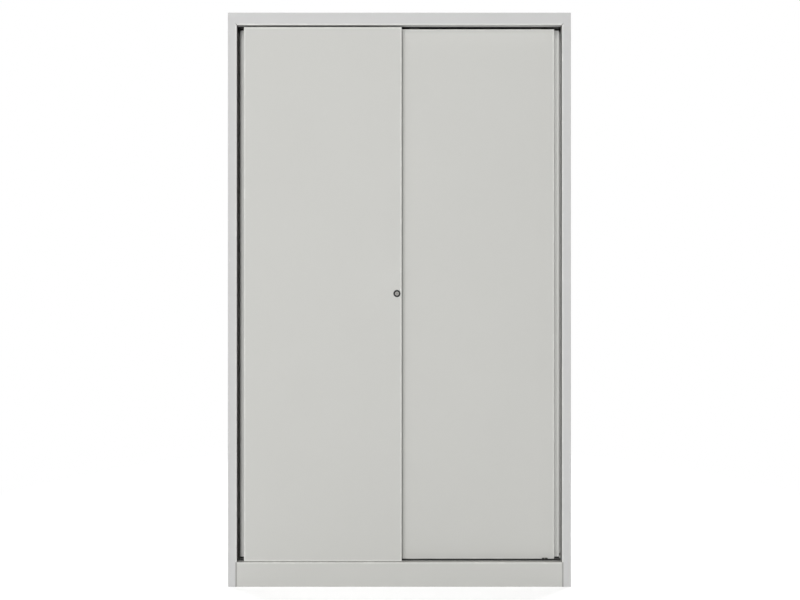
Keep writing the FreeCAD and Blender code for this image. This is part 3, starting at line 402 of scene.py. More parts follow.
painted_seam_shade, given = start_group("painted_seam_shade", Place=ORIGIN, Edge=0.0, Top=0.0)
parts = split_xyz(painted_seam_shade, given["Place"])
outward = outward_from(painted_seam_shade, parts["X"], given["Edge"])
line = calculate(painted_seam_shade, "MULTIPLY", ramp(painted_seam_shade, outward, *SEAM_START),
                 ramp(painted_seam_shade, outward, *SEAM_END))
below = calculate(painted_seam_shade, "LESS_THAN", parts["Z"], given["Top"])
end_group(painted_seam_shade, "Mask", calculate(painted_seam_shade, "MULTIPLY", line, below))

# %% [markdown]
# Dust lies on what faces up. It gathers in soft drifts, so a slow noise decides how thick it is.

# %% Settled dust
DRIFT_SIZE = 0.09
FACING_UP = (0.6, 0.95)   # upward part of the normal, from no dust to all of it
DRIFTS = (0.3, 0.8)

settled_dust, given = start_group("settled_dust", Place=ORIGIN, Amount=0.4)
facing = settled_dust.nodes.new("ShaderNodeTexCoord").outputs["Normal"]
upward = ramp(settled_dust, split_xyz(settled_dust, facing)["Z"], *FACING_UP)
drift = ramp(settled_dust, noise(settled_dust, given["Place"], DRIFT_SIZE, 4.0), *DRIFTS)
dusty = calculate(settled_dust, "MULTIPLY", upward, drift)
end_group(settled_dust, "Mask", calculate(settled_dust, "MULTIPLY", dusty, given["Amount"]))

# %% [markdown]
# Fingers leave grease where a door is pushed. It can't be seen as a colour, only as a change of gloss:
# smeared upright streaks that fade away from one place.

# %% Hand marks
STREAK = (1.0, 1.0, 0.3)  # squeezes the noise upright, so that its blotches are tall
STREAK_SIZE = 0.02
SMEARS = (0.42, 0.7)

hand_marks, given = start_group("hand_marks", Place=ORIGIN, Centre=ORIGIN, Reach=0.2)
apart = calculate_vector(hand_marks, "DISTANCE", given["Place"], given["Centre"], "Value")
near = ramp(hand_marks, apart, given["Reach"], 0.0)
tall = calculate_vector(hand_marks, "MULTIPLY", given["Place"], STREAK)
smear = ramp(hand_marks, noise(hand_marks, tall, STREAK_SIZE, 5.0, 0.6), *SMEARS)
end_group(hand_marks, "Mask", calculate(hand_marks, "MULTIPLY", near, smear))

# %% [markdown]
# Zinc plating on small fittings shows faint cells, each a little bluer or yellower than its neighbour
# and a little more or less bright. Voronoi cells give one random value per cell.

# %% Zinc spangle
spangle, given = start_group("zinc_spangle", Place=ORIGIN, Size=0.003)
cells = spangle.nodes.new("ShaderNodeTexVoronoi")
spangle.links.new(given["Place"], cells.inputs["Vector"])
spangle.links.new(calculate(spangle, "DIVIDE", 1.0, given["Size"]), cells.inputs["Scale"])
end_group(spangle, "Cell", wired(spangle, "ShaderNodeRGBToBW", cells.outputs["Color"])[0])

# %% [markdown]
# A turned face keeps the fine rings of the lathe tool. They are a wave of the distance from the axis.

# %% Turned rings
turned_rings, given = start_group("turned_rings", Place=ORIGIN, Centre=ORIGIN, Pitch=0.0002)
from_axis = calculate_vector(turned_rings, "SUBTRACT", given["Place"], given["Centre"])
from_axis = calculate_vector(turned_rings, "MULTIPLY", from_axis, (1, 0, 1))
radius = calculate_vector(turned_rings, "LENGTH", from_axis, result="Value")
turns = calculate(turned_rings, "DIVIDE", radius, given["Pitch"])
rings = calculate(turned_rings, "SINE", calculate(turned_rings, "MULTIPLY", turns, 2 * math.pi))
end_group(turned_rings, "Height", rings)

# %% [markdown]
# ## Materials
#
# Every material starts the same way: a Principled BSDF and the object's own coordinates. The plain
# numbers of a finish, such as its gloss, are set on the shader itself. The groups feed only what varies.

# %% The start of every material
def start_material(name, roughness, metallic=0.0, specular=0.5):
    """Material with its tree, the inputs of its shader and the object's coordinates."""
    material = bpy.data.materials.new(name)
    material.use_nodes = True
    tree = material.node_tree
    shader = tree.nodes["Principled BSDF"].inputs
    shader["Roughness"].default_value = roughness
    shader["Metallic"].default_value = metallic
    shader["Specular IOR Level"].default_value = specular
    return material, tree, shader, tree.nodes.new("ShaderNodeTexCoord").outputs["Object"]


def use_group(tree, group, place, **inputs):
    """Place a group in a material, with its own values."""
    node = tree.nodes.new("ShaderNodeGroup")
    node.node_tree = group
    tree.links.new(place, node.inputs["Place"])
    for name, value in inputs.items():
        socket_or_value(tree, value, node.inputs[name])
    return node.outputs[0]


def blend_colours(tree, share, first, second):
    """Mix two colours."""
    node = tree.nodes.new("ShaderNodeMix")
    node.data_type = "RGBA"
    socket_or_value(tree, share, node.inputs["Factor"])
    socket_or_value(tree, first, node.inputs["A"])
    socket_or_value(tree, second, node.inputs["B"])
    return node.outputs["Result"]


def relief(tree, shader, height, depth):
    """Bump of a real depth in metres."""
    bump = tree.nodes.new("ShaderNodeBump")
    bump.inputs["Strength"].default_value = 1.0
    bump.inputs["Distance"].default_value = depth
    tree.links.new(height, bump.inputs["Height"])
    tree.links.new(bump.outputs["Normal"], shader["Normal"])

# %% [markdown]
# The coat of doors and carcass is a light grey with a breath of yellow, half matt. One function makes
# it for any piece: it takes the piece's box for the painted highlights along its edges and the place where
# hands push it.

# %% Powder coat
LIGHT_GREY = (0.580, 0.580, 0.554, 1)     # doors and inside
FRAME_GREY = (0.592, 0.592, 0.588, 1)     # side panels and top
# painted light: the uprights are a shade lighter than the coat, standing in for light in the gaps beside the
# doors
UPRIGHT_LIT_GREY = (0.66, 0.66, 0.635, 1)
EDGE_HIGHLIGHT_GREY = (0.80, 0.80, 0.77, 1)       # painted highlight along folds and edges
DUST_GREY = (0.50, 0.48, 0.44, 1)
# painted shade in the lips beside the door opening
LIP_SHADE_GREY = (0.24, 0.24, 0.235, 1)
SEAM_SHADE_GREY = (0.26, 0.25, 0.235, 1)       # painted shade in the seam beside a panel
PEEL_SIZE = 1.3 * MM
PEEL_DEPTH = 0.04 * MM
COAT_ROUGHNESS = 0.62
COAT_SPECULAR = 0.25
NO_HANDS = (0, 0, -10)    # a place far from every piece
NO_OPENING = -10.0        # for pieces that have no lips in the door opening
NO_SEAM = -10.0           # for pieces that stand beside no other flush with them
SEAM_SHADE_SHARE = 0.6          # how much of the painted shade shows in that seam
GREASE_GLOSS = 0.16       # how much less rough a hand mark is


def powder_coat(name, low, high, hands=NO_HANDS, dust=0.35, edge_paint_share=0.9, grey=LIGHT_GREY, edge=EDGE_HIGHLIGHT_GREY,
                opening=NO_OPENING, seam_top=NO_SEAM):
    """Powder coat for one piece, or for several that share a box, with a painted highlight along its edges,
    which a dark edge colour turns into painted shade.
    """
    material, tree, shader, place = start_material(name, COAT_ROUGHNESS, specular=COAT_SPECULAR)
    edges = use_group(tree, painted_edge_light_and_shade, place, Low=low, High=high, Lowest=seam_top)
    seam_shade = use_group(tree, painted_seam_shade, place, Edge=opening, Top=seam_top)
    dusty = use_group(tree, settled_dust, place, Amount=dust)
    # Over the coat's colour go a painted highlight along the edges, painted shade in the lips and in the seam
    # beside the plinth, and real dust.
    layers = ((calculate(tree, "MULTIPLY", edges, edge_paint_share), edge),
              (use_group(tree, painted_lip_shade, place, Edge=opening, Front=front_y), LIP_SHADE_GREY),
              (calculate(tree, "MULTIPLY", seam_shade, SEAM_SHADE_SHARE), SEAM_SHADE_GREY),
              (dusty, DUST_GREY))
    colour = use_group(tree, uneven, place, Colour=grey)
    for share, layer in layers:
        colour = blend_colours(tree, share, colour, layer)
    tree.links.new(colour, shader["Base Color"])
    grease = use_group(tree, hand_marks, place, Centre=hands)
    rough = calculate(tree, "MULTIPLY_ADD", grease, -GREASE_GLOSS, COAT_ROUGHNESS)
    rough = calculate(tree, "MULTIPLY_ADD", dusty, 1 - COAT_ROUGHNESS, rough)
    tree.links.new(rough, shader["Roughness"])
    relief(tree, shader, use_group(tree, orange_peel, place, Size=PEEL_SIZE), PEEL_DEPTH)
    return material


def box_of(*names):
    """Box around several nodes of the construction."""
    lows, highs = zip(*[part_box(name) for name in names])
    return Vector(map(min, *lows)), Vector(map(max, *highs))


carcass_box = box_of("side_panel_left", "side_panel_right", "top_panel")
inner_box = box_of("bottom_panel", "upright_front_left", "back_panel_right")
carcass_coat = powder_coat("carcass_coat", *carcass_box)
# The uprights take the lighter grey: painted light for the narrow gaps beside the doors, where little light
# reaches them.
upright_coat_lightened = powder_coat("upright_coat_lightened", *carcass_box, dust=0.2, edge_paint_share=0.0, grey=UPRIGHT_LIT_GREY)
inner_coat = powder_coat("inner_coat", *inner_box, dust=0.2, edge_paint_share=0.0)
print(len(bpy.data.materials), "materials so far")

# %% [markdown]
# Tracks, caps and pads are moulded in black polypropylene, the stops in softer black rubber, the rollers
# and guides in natural nylon, which is a creamy white and lets a little light in.

# %% Plastics and rubber
SHADE_SIZE = 0.02         # blotches in the colour of a moulding
SHADE_AMOUNT = 0.12
PLASTIC_BLACK = (0.014, 0.014, 0.015, 1)
RUBBER_BLACK = (0.020, 0.020, 0.019, 1)
BEZEL_BLACK = (0.018, 0.018, 0.019, 1)
NYLON_WHITE = (0.78, 0.76, 0.69, 1)
LIGHT_REACH = (0.004, 0.0035, 0.003)      # of red, green and blue in nylon


def moulded(name, colour, roughness, grain, depth, dust=0.25, specular=0.4):
    """Moulded plastic or rubber with a fine spark-eroded grain and some dust."""
    material, tree, shader, place = start_material(name, roughness, specular=specular)
    shade = use_group(tree, uneven, place, Colour=colour, Size=SHADE_SIZE, Amount=SHADE_AMOUNT)
    dusty = use_group(tree, settled_dust, place, Amount=dust)
    tree.links.new(blend_colours(tree, dusty, shade, DUST_GREY), shader["Base Color"])
    rough = calculate(tree, "MULTIPLY_ADD", dusty, 1 - roughness, roughness)
    tree.links.new(rough, shader["Roughness"])
    relief(tree, shader, use_group(tree, orange_peel, place, Size=grain), depth)
    return material


black_plastic = moulded("black_polypropylene", PLASTIC_BLACK, 0.48, 0.5 * MM, 0.02 * MM)
stop_rubber = moulded("black_rubber", RUBBER_BLACK, 0.8, 0.8 * MM, 0.05 * MM)
bezel_plastic = moulded("bezel_plastic", BEZEL_BLACK, 0.55, 0.4 * MM, 0.01 * MM, 0.05, specular=0.15)
nylon = moulded("natural_nylon", NYLON_WHITE, 0.42, 0.6 * MM, 0.01 * MM, 0.1)
shader = nylon.node_tree.nodes["Principled BSDF"].inputs
shader["Subsurface Weight"].default_value = 0.25
shader["Subsurface Radius"].default_value = LIGHT_REACH
print(len(bpy.data.materials), "materials so far")

# %% [markdown]
# Brackets, axles, screws and nuts are zinc plated: a cool, cloudy metal. The plug of the lock is nickel
# that keys have scratched dull: darker and warmer, with the rings that the lathe left on its face. Its
# keyway is painted black from just behind the face: a painted shade of the narrow slot.

# %% Metals
ZINC_BLUE = (0.58, 0.61, 0.66, 1)
ZINC_YELLOW = (0.66, 0.64, 0.56, 1)
NICKEL = (0.19, 0.185, 0.175, 1)
NICKEL_DULL = (0.10, 0.098, 0.092, 1)
KEYWAY_SHADE_BLACK = (0.012, 0.012, 0.011, 1)
KEYWAY_FADE = (0.4 * MM, 1.4 * MM)        # behind the face of the plug, where the painted shade fades in
ZINC_GLOSS = (0.30, 0.48)                 # roughness from cell to cell
CLOUD_SIZE = 2.5 * MM                     # of the scratched nickel
CLOUDS = (0.3, 0.7)
NICKEL_GLOSS = (0.42, 0.56)

zinc, tree, shader, place = start_material("zinc_plate", 0.38, metallic=1.0)
cell = use_group(tree, spangle, place)
tree.links.new(blend_colours(tree, cell, ZINC_BLUE, ZINC_YELLOW), shader["Base Color"])
tree.links.new(ramp(tree, cell, 0.0, 1.0, *ZINC_GLOSS), shader["Roughness"])
relief(tree, shader, use_group(tree, orange_peel, place, Size=0.4 * MM), 0.006 * MM)

lock_low, lock_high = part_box("lock_plug")
lock_centre = (lock_low + lock_high) / 2
nickel, tree, shader, place = start_material("nickel_plate", 0.48, metallic=1.0)
cloudy = noise(tree, place, CLOUD_SIZE, 3.0)
plated = blend_colours(tree, cloudy, NICKEL_DULL, NICKEL)
# The keyway is painted black from just behind the face: painted shade of the slot.
behind_face = calculate(tree, "SUBTRACT", split_xyz(tree, place)["Y"], lock_low.y)
in_keyway_shade = ramp(tree, behind_face, *KEYWAY_FADE)
tree.links.new(blend_colours(tree, in_keyway_shade, plated, KEYWAY_SHADE_BLACK), shader["Base Color"])
tree.links.new(ramp(tree, cloudy, *CLOUDS, *NICKEL_GLOSS), shader["Roughness"])
rings = use_group(tree, turned_rings, place, Centre=lock_centre, Pitch=0.35 * MM)
relief(tree, shader, rings, 0.004 * MM)
print(len(bpy.data.materials), "materials so far")

# %% [markdown]
# Each node of the construction gets the finish of its material slot. A node that is modelled again
# further down passes the finish on to the piece that stands for it.

# %% Finishes by slot
FINISH_OF_SLOT = {
    "door_powder_coat": carcass_coat,
    "carcass_powder_coat": carcass_coat,
    "inner_powder_coat": inner_coat,
    "black_plastic": black_plastic,
    "black_rubber": stop_rubber,
    "white_nylon": nylon,
    "black_lock_bezel": bezel_plastic,
    "nickel_plug": nickel,
    "zinc_plated_steel": zinc,
}
slot_of_node = {part["node"]: part["material_slot"] for part in frame["record"]["subparts"]}
for name, thing in nodes.items():
    thing.data.materials.clear()
    thing.data.materials.append(FINISH_OF_SLOT[slot_of_node[name]])
body_of_node = {name: body for body, names in frame["record"]["behaviour"]["bodies"].items()
                for name in names}
print(len(slot_of_node), "nodes finished in", len(FINISH_OF_SLOT), "slots")

# %% [markdown]
# ## Tools of the bench
#
# Blender's operators act on what is selected, so the first helpers select one piece, and in edit mode
# all of it, or the faces or edges that pass a test on their place or normal. The test is a function.

# %% Selecting
NEAR = 0.01 * MM          # two places closer than this are the same


def only(piece):
    """Make one piece the active and only selected object."""
    bpy.ops.object.select_all(action="DESELECT")
    piece.select_set(True)
    bpy.context.view_layer.objects.active = piece


def pick(piece, kind, test):
    """Select the faces or edges that pass a test, and nothing else. kind is EDGE or FACE."""
    bpy.ops.mesh.select_all(action="DESELECT")
    bpy.ops.mesh.select_mode(type=kind)
    mesh = bmesh.from_edit_mesh(piece.data)
    for item in filter(test, mesh.faces if kind == "FACE" else mesh.edges):
        item.select_set(True)
    bmesh.update_edit_mesh(piece.data)


def edit(piece, kind, test=None):
    """Enter edit mode with the faces or edges that pass a test, or with all of them."""
    only(piece)
    bpy.ops.object.mode_set(mode="EDIT")
    bpy.ops.mesh.select_mode(type=kind)
    bpy.ops.mesh.select_all(action="SELECT")
    if test:
        pick(piece, kind, test)


def leave():
    """Back to object mode."""
    bpy.ops.object.mode_set(mode="OBJECT")


def apply_modifier(piece, kind, **settings):
    """Add a modifier, set it and apply it."""
    only(piece)
    modifier = piece.modifiers.new(kind.lower(), kind)
    for name, value in settings.items():
        setattr(modifier, name, value)
    bpy.ops.object.modifier_apply(modifier=modifier.name)


def join_pieces(name, pieces):
    """One object from several."""
    only(pieces[0])
    for piece in pieces[1:]:
        piece.select_set(True)
    if len(pieces) > 1:
        bpy.ops.object.join()
    pieces[0].name = name
    return pieces[0]


def copy_of(piece, name, shift=(0, 0, 0), mirror=None):
    """Copy with its own mesh, shifted, or mirrored through a plane given by a point and a normal."""
    only(piece)
    bpy.ops.object.duplicate(linked=False)
    twin = bpy.context.object
    twin.name = name
    twin.location = shift
    bpy.ops.object.transform_apply(location=True, rotation=False, scale=False)
    if mirror is not None:
        point, normal = mirror
        flip = Matrix.Scale(-1, 4, normal)
        there = Matrix.Translation(point)
        twin.data.transform(there @ flip @ there.inverted())
        edit(twin, "FACE")
        bpy.ops.mesh.flip_normals()
        leave()
    return twin


LEFT_TWIN = (Vector((0, 0, 0)), RIGHT)      # mirror through the middle of the cupboard


def at_four_corners(piece, to_rear):
    """A piece, its twin at the rear, and the left twins of both."""
    rear = copy_of(piece, "rear_twin", mirror=to_rear)
    return [piece, rear] + [copy_of(right, "left_twin", mirror=LEFT_TWIN) for right in (piece, rear)]

# %% [markdown]
# Cubes and cylinders are the cutters for holes and notches. A cutter is joined from all the blocks of
# one piece, so that one boolean does all its holes. Edges are rounded in two ways: those of a block that
# run in a given direction, or every edge that is sharper than an angle.

# %% Cutting and rounding
def block(low, high):
    """Cube between two corners."""
    low, high = Vector(low), Vector(high)
    bpy.ops.mesh.primitive_cube_add(size=1, location=(low + high) / 2)
    cube = bpy.context.object
    cube.scale = high - low
    bpy.ops.object.transform_apply()
    return cube


def rod(centre, axis, radius, length, steps=24):
    """Cylinder from a centre along an axis."""
    turned = axis.to_track_quat("Z", "Y").to_euler()
    bpy.ops.mesh.primitive_cylinder_add(vertices=steps, radius=radius, depth=length,
                                        location=centre + axis * length / 2, rotation=turned)
    bpy.ops.object.transform_apply()
    return bpy.context.object


def combine(piece, tool, operation):
    """Boolean of a piece and a tool, which is used up."""
    apply_modifier(piece, "BOOLEAN", object=tool, operation=operation, solver="EXACT")
    bpy.data.objects.remove(tool)


def cut_with(piece, *cutters):
    """Take blocks and rods away from a piece."""
    combine(piece, join_pieces("cutter", cutters), "DIFFERENCE")


def round_edges(piece, ways, radius, segments):
    """Round the edges of a block that run along one of several ways."""
    def runs_along(edge):
        course = edge.verts[0].co - edge.verts[1].co
        return any(abs(course.dot(way)) > NEAR for way in ways)

    edit(piece, "EDGE", runs_along)
    bpy.ops.mesh.bevel(offset=radius, segments=segments, affect="EDGES")
    leave()


def break_edges(piece, width, segments=1, degrees=60):
    """Fine bevel along every edge that turns by more than an angle."""
    apply_modifier(piece, "BEVEL", width=width, segments=segments, limit_method="ANGLE",
                   angle_limit=math.radians(degrees))

# %% [markdown]
# A finished piece is smooth across its folds and sharp at its cut edges. Weighted normals keep the
# large flat faces flat, so that a fold catches the light only where it bends. Then the piece rides on
# its body, stands for its node and takes that node's finish.

# %% Finishing a piece
SMOOTH_ANGLE = math.radians(35)
made = []


def finish_piece(piece, *replaced, material=None):
    """Smooth a piece, put its place into its mesh and let it stand for nodes of the construction."""
    only(piece)
    bpy.ops.object.transform_apply()
    bpy.ops.object.shade_smooth_by_angle(angle=SMOOTH_ANGLE)
    apply_modifier(piece, "WEIGHTED_NORMAL", keep_sharp=True)
    slot = slot_of_node[replaced[0]]
    piece.data.materials.clear()
    piece.data.materials.append(material or FINISH_OF_SLOT[slot])
    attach(piece, body_of_node[replaced[0]])
    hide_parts(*replaced)
    made.append(piece)
    print("%-28s %6d faces" % (piece.name, len(piece.data.polygons)))

# %% [markdown]
# ## Folded sheet
#
# Most of the cupboard comes off a press brake. The helper works like one: it lays out the first leg as
# a plane, extrudes the edge leg by leg along the section, rounds each fold with a bevel, and gives the
# surface its thickness last. The section is drawn along one face of the metal, corner by corner.
# A fold that turns towards the metal has the full radius on that face, the others a sheet less.

# %% The press brake
def from_above(z, *corners):
    """Section of a piece that is folded upright, from its x and y."""
    return [Vector((x, y, z)) for x, y in corners]


def from_the_side(x, *corners):
    """Section of a piece that is folded across the cupboard, from its y and z."""
    return [Vector((x, y, z)) for y, z in corners]


def fold_surface(name, line, run, metal, sheet=SHEET, bend=BEND):
    """Surface through the corners of a section, swept along run, with its folds rounded."""
    legs = [second - first for first, second in zip(line, line[1:])]
    along, across = legs[0].normalized(), run.normalized()
    turned = Matrix((along, across, along.cross(across))).transposed().to_euler()
    bpy.ops.mesh.primitive_plane_add(size=1, location=line[0] + (legs[0] + run) / 2, rotation=turned)
    piece = bpy.context.object
    piece.name = name
    piece.scale = (legs[0].length, run.length, 1)
    bpy.ops.object.transform_apply()
    corner = line[1]

    def on_corner(edge):
        return all((vert.co - corner).cross(across).length < NEAR for vert in edge.verts)

    edit(piece, "EDGE", on_corner)
    for leg in legs[1:]:
        bpy.ops.mesh.extrude_edges_move(TRANSFORM_OT_translate={"value": leg})
    side = metal
    for corner, before, after in zip(line[1:-1], legs, legs[1:]):
        towards = after.dot(side) > 0
        angle = before.angle(after)
        radius = bend if towards else bend - sheet
        side = before.rotation_difference(after) @ side
        pick(piece, "EDGE", on_corner)
        bpy.ops.mesh.bevel(offset=radius * math.tan(angle / 2), segments=FOLD_STEPS, affect="EDGES",
                           clamp_overlap=False)
    leave()
    return piece


def thicken(piece, first_leg_point, metal, sheet=SHEET):
    """Give a surface its thickness, towards the metal side of the leg at a point."""
    nearest = min(piece.data.polygons, key=lambda face: (face.center - first_leg_point).length)
    way = 1 if nearest.normal.dot(metal) > 0 else -1
    apply_modifier(piece, "SOLIDIFY", thickness=sheet, offset=way, use_even_offset=True)


def fold_sheet(name, line, run, metal, sheet=SHEET, bend=BEND, mitres=()):
    """Folded sheet with its thickness. A mitre is a point and a normal that points to what falls off."""
    piece = fold_surface(name, line, run, metal, sheet, bend)
    for point, normal in mitres:
        edit(piece, "FACE")
        bpy.ops.mesh.bisect(plane_co=point, plane_no=normal, clear_outer=True)
        leave()
    thicken(piece, (line[0] + line[1] + run) / 2, metal, sheet)
    return piece

# %% [markdown]
# Doors and shelves are shallow pans: all four sides are folded up and a lip is folded in on each. Here
# a cube is the start. Its edges are rounded, its open face is inset by the width of the lip and
# deleted, and the skin gets its thickness inwards.

# %% Pans
def fold_pan(name, low, high, open_way, lip):
    """Pan between two corners, open towards open_way inside its lips."""
    pan = block(low, high)
    pan.name = name
    edit(pan, "EDGE")
    bpy.ops.mesh.bevel(offset=BEND, segments=FOLD_STEPS, affect="EDGES", clamp_overlap=False)
    pick(pan, "FACE", lambda face: face.normal.dot(open_way) > 0.999)
    bpy.ops.mesh.inset(thickness=lip - BEND)
    bpy.ops.mesh.delete(type="FACE")
    leave()
    apply_modifier(pan, "SOLIDIFY", thickness=SHEET, offset=-1, use_even_offset=True)
    return pan

# %% [markdown]
# What is round is turned on a lathe. A circle is the first ring of the profile. Its edges are extruded
# along the axis and scaled from ring to ring. A solid gets a cap at both ends, and a bored piece comes
# back to its first ring, where the doubled points are merged.

# %% The lathe
def turn_on_lathe(name, profile, centre, axis, steps=40):
    """Round piece from a list of (radius, distance along the axis)."""
    radius, along = profile[0]
    bpy.ops.mesh.primitive_circle_add(vertices=steps, radius=radius, location=centre + axis * along,
                                      rotation=axis.to_track_quat("Z", "Y").to_euler())
    piece = bpy.context.object
    piece.name = name
    bpy.ops.object.transform_apply()
    edit(piece, "EDGE")
    bored = profile[0] == profile[-1]
    if not bored:
        bpy.ops.mesh.edge_face_add()
        bpy.ops.mesh.duplicate()
        bpy.ops.mesh.delete(type="ONLY_FACE")
        pick(piece, "EDGE", lambda edge: edge.is_wire)
    for next_radius, next_along in profile[1:]:
        bpy.ops.mesh.extrude_edges_move(TRANSFORM_OT_translate={"value": axis * (next_along - along)})
        growth = next_radius / radius
        bpy.ops.transform.resize(value=(growth, growth, growth),
                                 center_override=centre + axis * next_along)
        radius, along = next_radius, next_along
    if not bored:
        bpy.ops.mesh.edge_face_add()
    bpy.ops.mesh.select_all(action="SELECT")
    bpy.ops.mesh.remove_doubles(threshold=NEAR / 10)
    bpy.ops.mesh.normals_make_consistent(inside=False)
    leave()
    return piece

# %% [markdown]
# ## The doors
#
# Each door is one pan, 15 mm deep, open at the back. The pan is made once, in the front door's place,
# and the rear door is its copy. Then the front door gets a hole for the lock, and its lip is notched
# behind it for the nut.

# %% The two door pans
DOOR_LIP = 20 * MM
LOCK_HOLE_R = 9 * MM
LIP_NOTCH = 34 * MM
HAND_IN = 0.03            # where hands push, from the lock or from the door's edge
HAND_ABOVE = 0.05

front_low, front_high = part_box("front_door_panel")
rear_low, rear_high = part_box("rear_door_panel")
front_pan = fold_pan("front_door_pan", front_low, front_high, BACK, DOOR_LIP)
rear_pan = copy_of(front_pan, "rear_door_pan", rear_low - front_low)

notch_edge = front_high.x - BEND
notch = block((notch_edge - DOOR_LIP, front_high.y - 2 * SHEET, lock_centre.z - LIP_NOTCH / 2),
              (notch_edge, front_high.y + SHEET, lock_centre.z + LIP_NOTCH / 2))
lock_start = Vector((lock_centre.x, front_low.y - SHEET, lock_centre.z))
cut_with(front_pan, rod(lock_start, BACK, LOCK_HOLE_R, 3 * SHEET, 40), notch)

lock_area = (lock_centre.x - HAND_IN, front_low.y, lock_centre.z + HAND_ABOVE)
pull_area = (rear_high.x - HAND_IN, rear_low.y, lock_centre.z + HAND_ABOVE)
front_coat = powder_coat("front_door_coat", front_low, front_high, hands=lock_area)
rear_coat = powder_coat("rear_door_coat", rear_low, rear_high, hands=pull_area)
finish_piece(front_pan, "front_door_panel", material=front_coat)
finish_piece(rear_pan, "rear_door_panel", material=rear_coat)

# %% [markdown]
# ## The front frame
#
# A side panel is one sheet with four legs: the lip beside the doors, the front flange, the wall and the
# rear flange. The top is another: underside lip, underside, fascia, skin and rear flange. Where they
# meet at the front, both are cut along one mitre from the inner corner to the outer one, and a slit at
# the inner corner relieves the folds. On the real cupboard the mitre is welded and ground flush.

# %% The side panels
SIDE_LIP = 27 * MM
FASCIA_LIP = 15 * MM
REAR_FLANGE = 20 * MM
BASE_RETURN = 15 * MM
FAR = 5.0                 # takes the edges that nobody rubs out of a coat's box
SLIT_LENGTH = 7 * MM
SLIT_WIDTH = 2 * MM

side_low, side_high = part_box("side_panel_right")
back_y = side_high.y
opening_x = side_low.x
fascia_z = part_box("top_panel")[0].z
mitre_start = Vector((opening_x, front_y, fascia_z))
mitre_way = Vector((half_width - opening_x, 0, top_z - fascia_z)).normalized()
mitre_side = BACK.cross(mitre_way)          # points down and out, to the side panel
side_line = from_above(0, (opening_x, front_y + SIDE_LIP), (opening_x, front_y), (half_width, front_y),
                       (half_width, back_y), (half_width - REAR_FLANGE, back_y))
side = fold_sheet("side_right", side_line, UP * top_z, RIGHT, mitres=[(mitre_start, -mitre_side)])


def corner_slit():
    """Cutter for the slit at the right inner corner."""
    slit = block((-SLIT_WIDTH, -SHEET, -SLIT_WIDTH / 2), (SLIT_LENGTH, BEND, SLIT_WIDTH / 2))
    slit.rotation_euler.y = -math.atan2(mitre_way.z, mitre_way.x)
    slit.location = mitre_start
    bpy.ops.object.transform_apply()
    return slit


cut_with(side, corner_slit())
wall = half_width - SHEET
floor_return = block((wall - BASE_RETURN, front_y + BEND, 0), (wall, back_y - BEND, SHEET))
side = join_pieces("side_right", [side, floor_return])
other_side = copy_of(side, "side_left", mirror=LEFT_TWIN)
plinth_low, plinth_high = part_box("plinth_front")
side_look = {"grey": FRAME_GREY, "opening": opening_x, "seam_top": plinth_high.z}
right_coat = powder_coat("right_side_coat", (opening_x, front_y, -FAR), (FAR, FAR, FAR), **side_look)
left_coat = powder_coat("left_side_coat", (-FAR, front_y, -FAR), (-opening_x, FAR, FAR), **side_look)
finish_piece(side, "side_panel_right", material=right_coat)
finish_piece(other_side, "side_panel_left", material=left_coat)

# %% [markdown]
# The top panel has the same folds across the cupboard. Its two skirts stand inside the walls, where they
# are spot welded.

# %% The top panel
SKIRT = 24 * MM
track_low, track_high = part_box("top_track")

fascia_return = track_low.y
top_line = from_the_side(-half_width, (fascia_return, fascia_z + FASCIA_LIP), (fascia_return, fascia_z),
                         (front_y, fascia_z), (front_y, top_z), (back_y, top_z),
                         (back_y, top_z - REAR_FLANGE))
left_start = Vector((-opening_x, front_y, fascia_z))
left_side = Vector((-mitre_side.x, 0, mitre_side.z))
top = fold_sheet("top_shell", top_line, RIGHT * 2 * half_width, -BACK,
                 mitres=[(mitre_start, mitre_side), (left_start, left_side)])
slit = corner_slit()
cut_with(top, slit, copy_of(slit, "left_slit", mirror=LEFT_TWIN))
skirt = block((wall - SHEET, fascia_return + SHEET, top_z - SHEET - SKIRT),
              (wall, back_y - 2 * SHEET - BEND, top_z - SHEET))
top = join_pieces("top_shell", [top, skirt, copy_of(skirt, "left_skirt", mirror=LEFT_TWIN)])
top_coat = powder_coat("top_coat", (-FAR, front_y, fascia_z), (FAR, FAR, FAR), grey=FRAME_GREY)
finish_piece(top, "top_panel", material=top_coat)

# %% [markdown]
# The plinth stands between the side flanges, flush with them, and its top edge is the ledge in front of
# the bottom track.

# %% The plinth
PLINTH_LIP = 16 * MM
plinth_line = from_the_side(plinth_low.x, (front_y + BASE_RETURN, 0), (front_y, 0),
                            (front_y, plinth_high.z), (plinth_high.y, plinth_high.z),
                            (plinth_high.y, plinth_high.z - PLINTH_LIP))
plinth = fold_sheet("plinth", plinth_line, RIGHT * (plinth_high.x - plinth_low.x), UP)
plinth_coat = powder_coat("plinth_coat", (-FAR, front_y, -FAR), (FAR, FAR, plinth_high.z))
finish_piece(plinth, "plinth_front", material=plinth_coat)

# %% [markdown]
# ## The tracks
#
# Two channels of black plastic carry and guide the doors. The lower one has a groove for each door's
# rollers, the upper one a narrow slot for each door's tongues. On the real cupboard they are extruded,
# so one section runs the whole width, and the press brake helper can draw it just as well.

# %% The bottom track
TRACK_SHEET = 1.2 * MM
TRACK_BEND = 2.0 * MM
GROOVE_WIDTH = 10.5 * MM
GROOVE_DEPTH = 8.0 * MM
door_pitch = rear_low.y - front_low.y


def grooves(start_y, level, width, rise):
    """Corners of a track's section, with a groove for each door that rises or falls from a level."""
    corners = []
    for step in range(2):
        near_y = start_y + TRACK_SHEET + step * door_pitch
        far_y = near_y + width
        corners += [(near_y, level), (near_y, level + rise), (far_y, level + rise), (far_y, level)]
    return corners


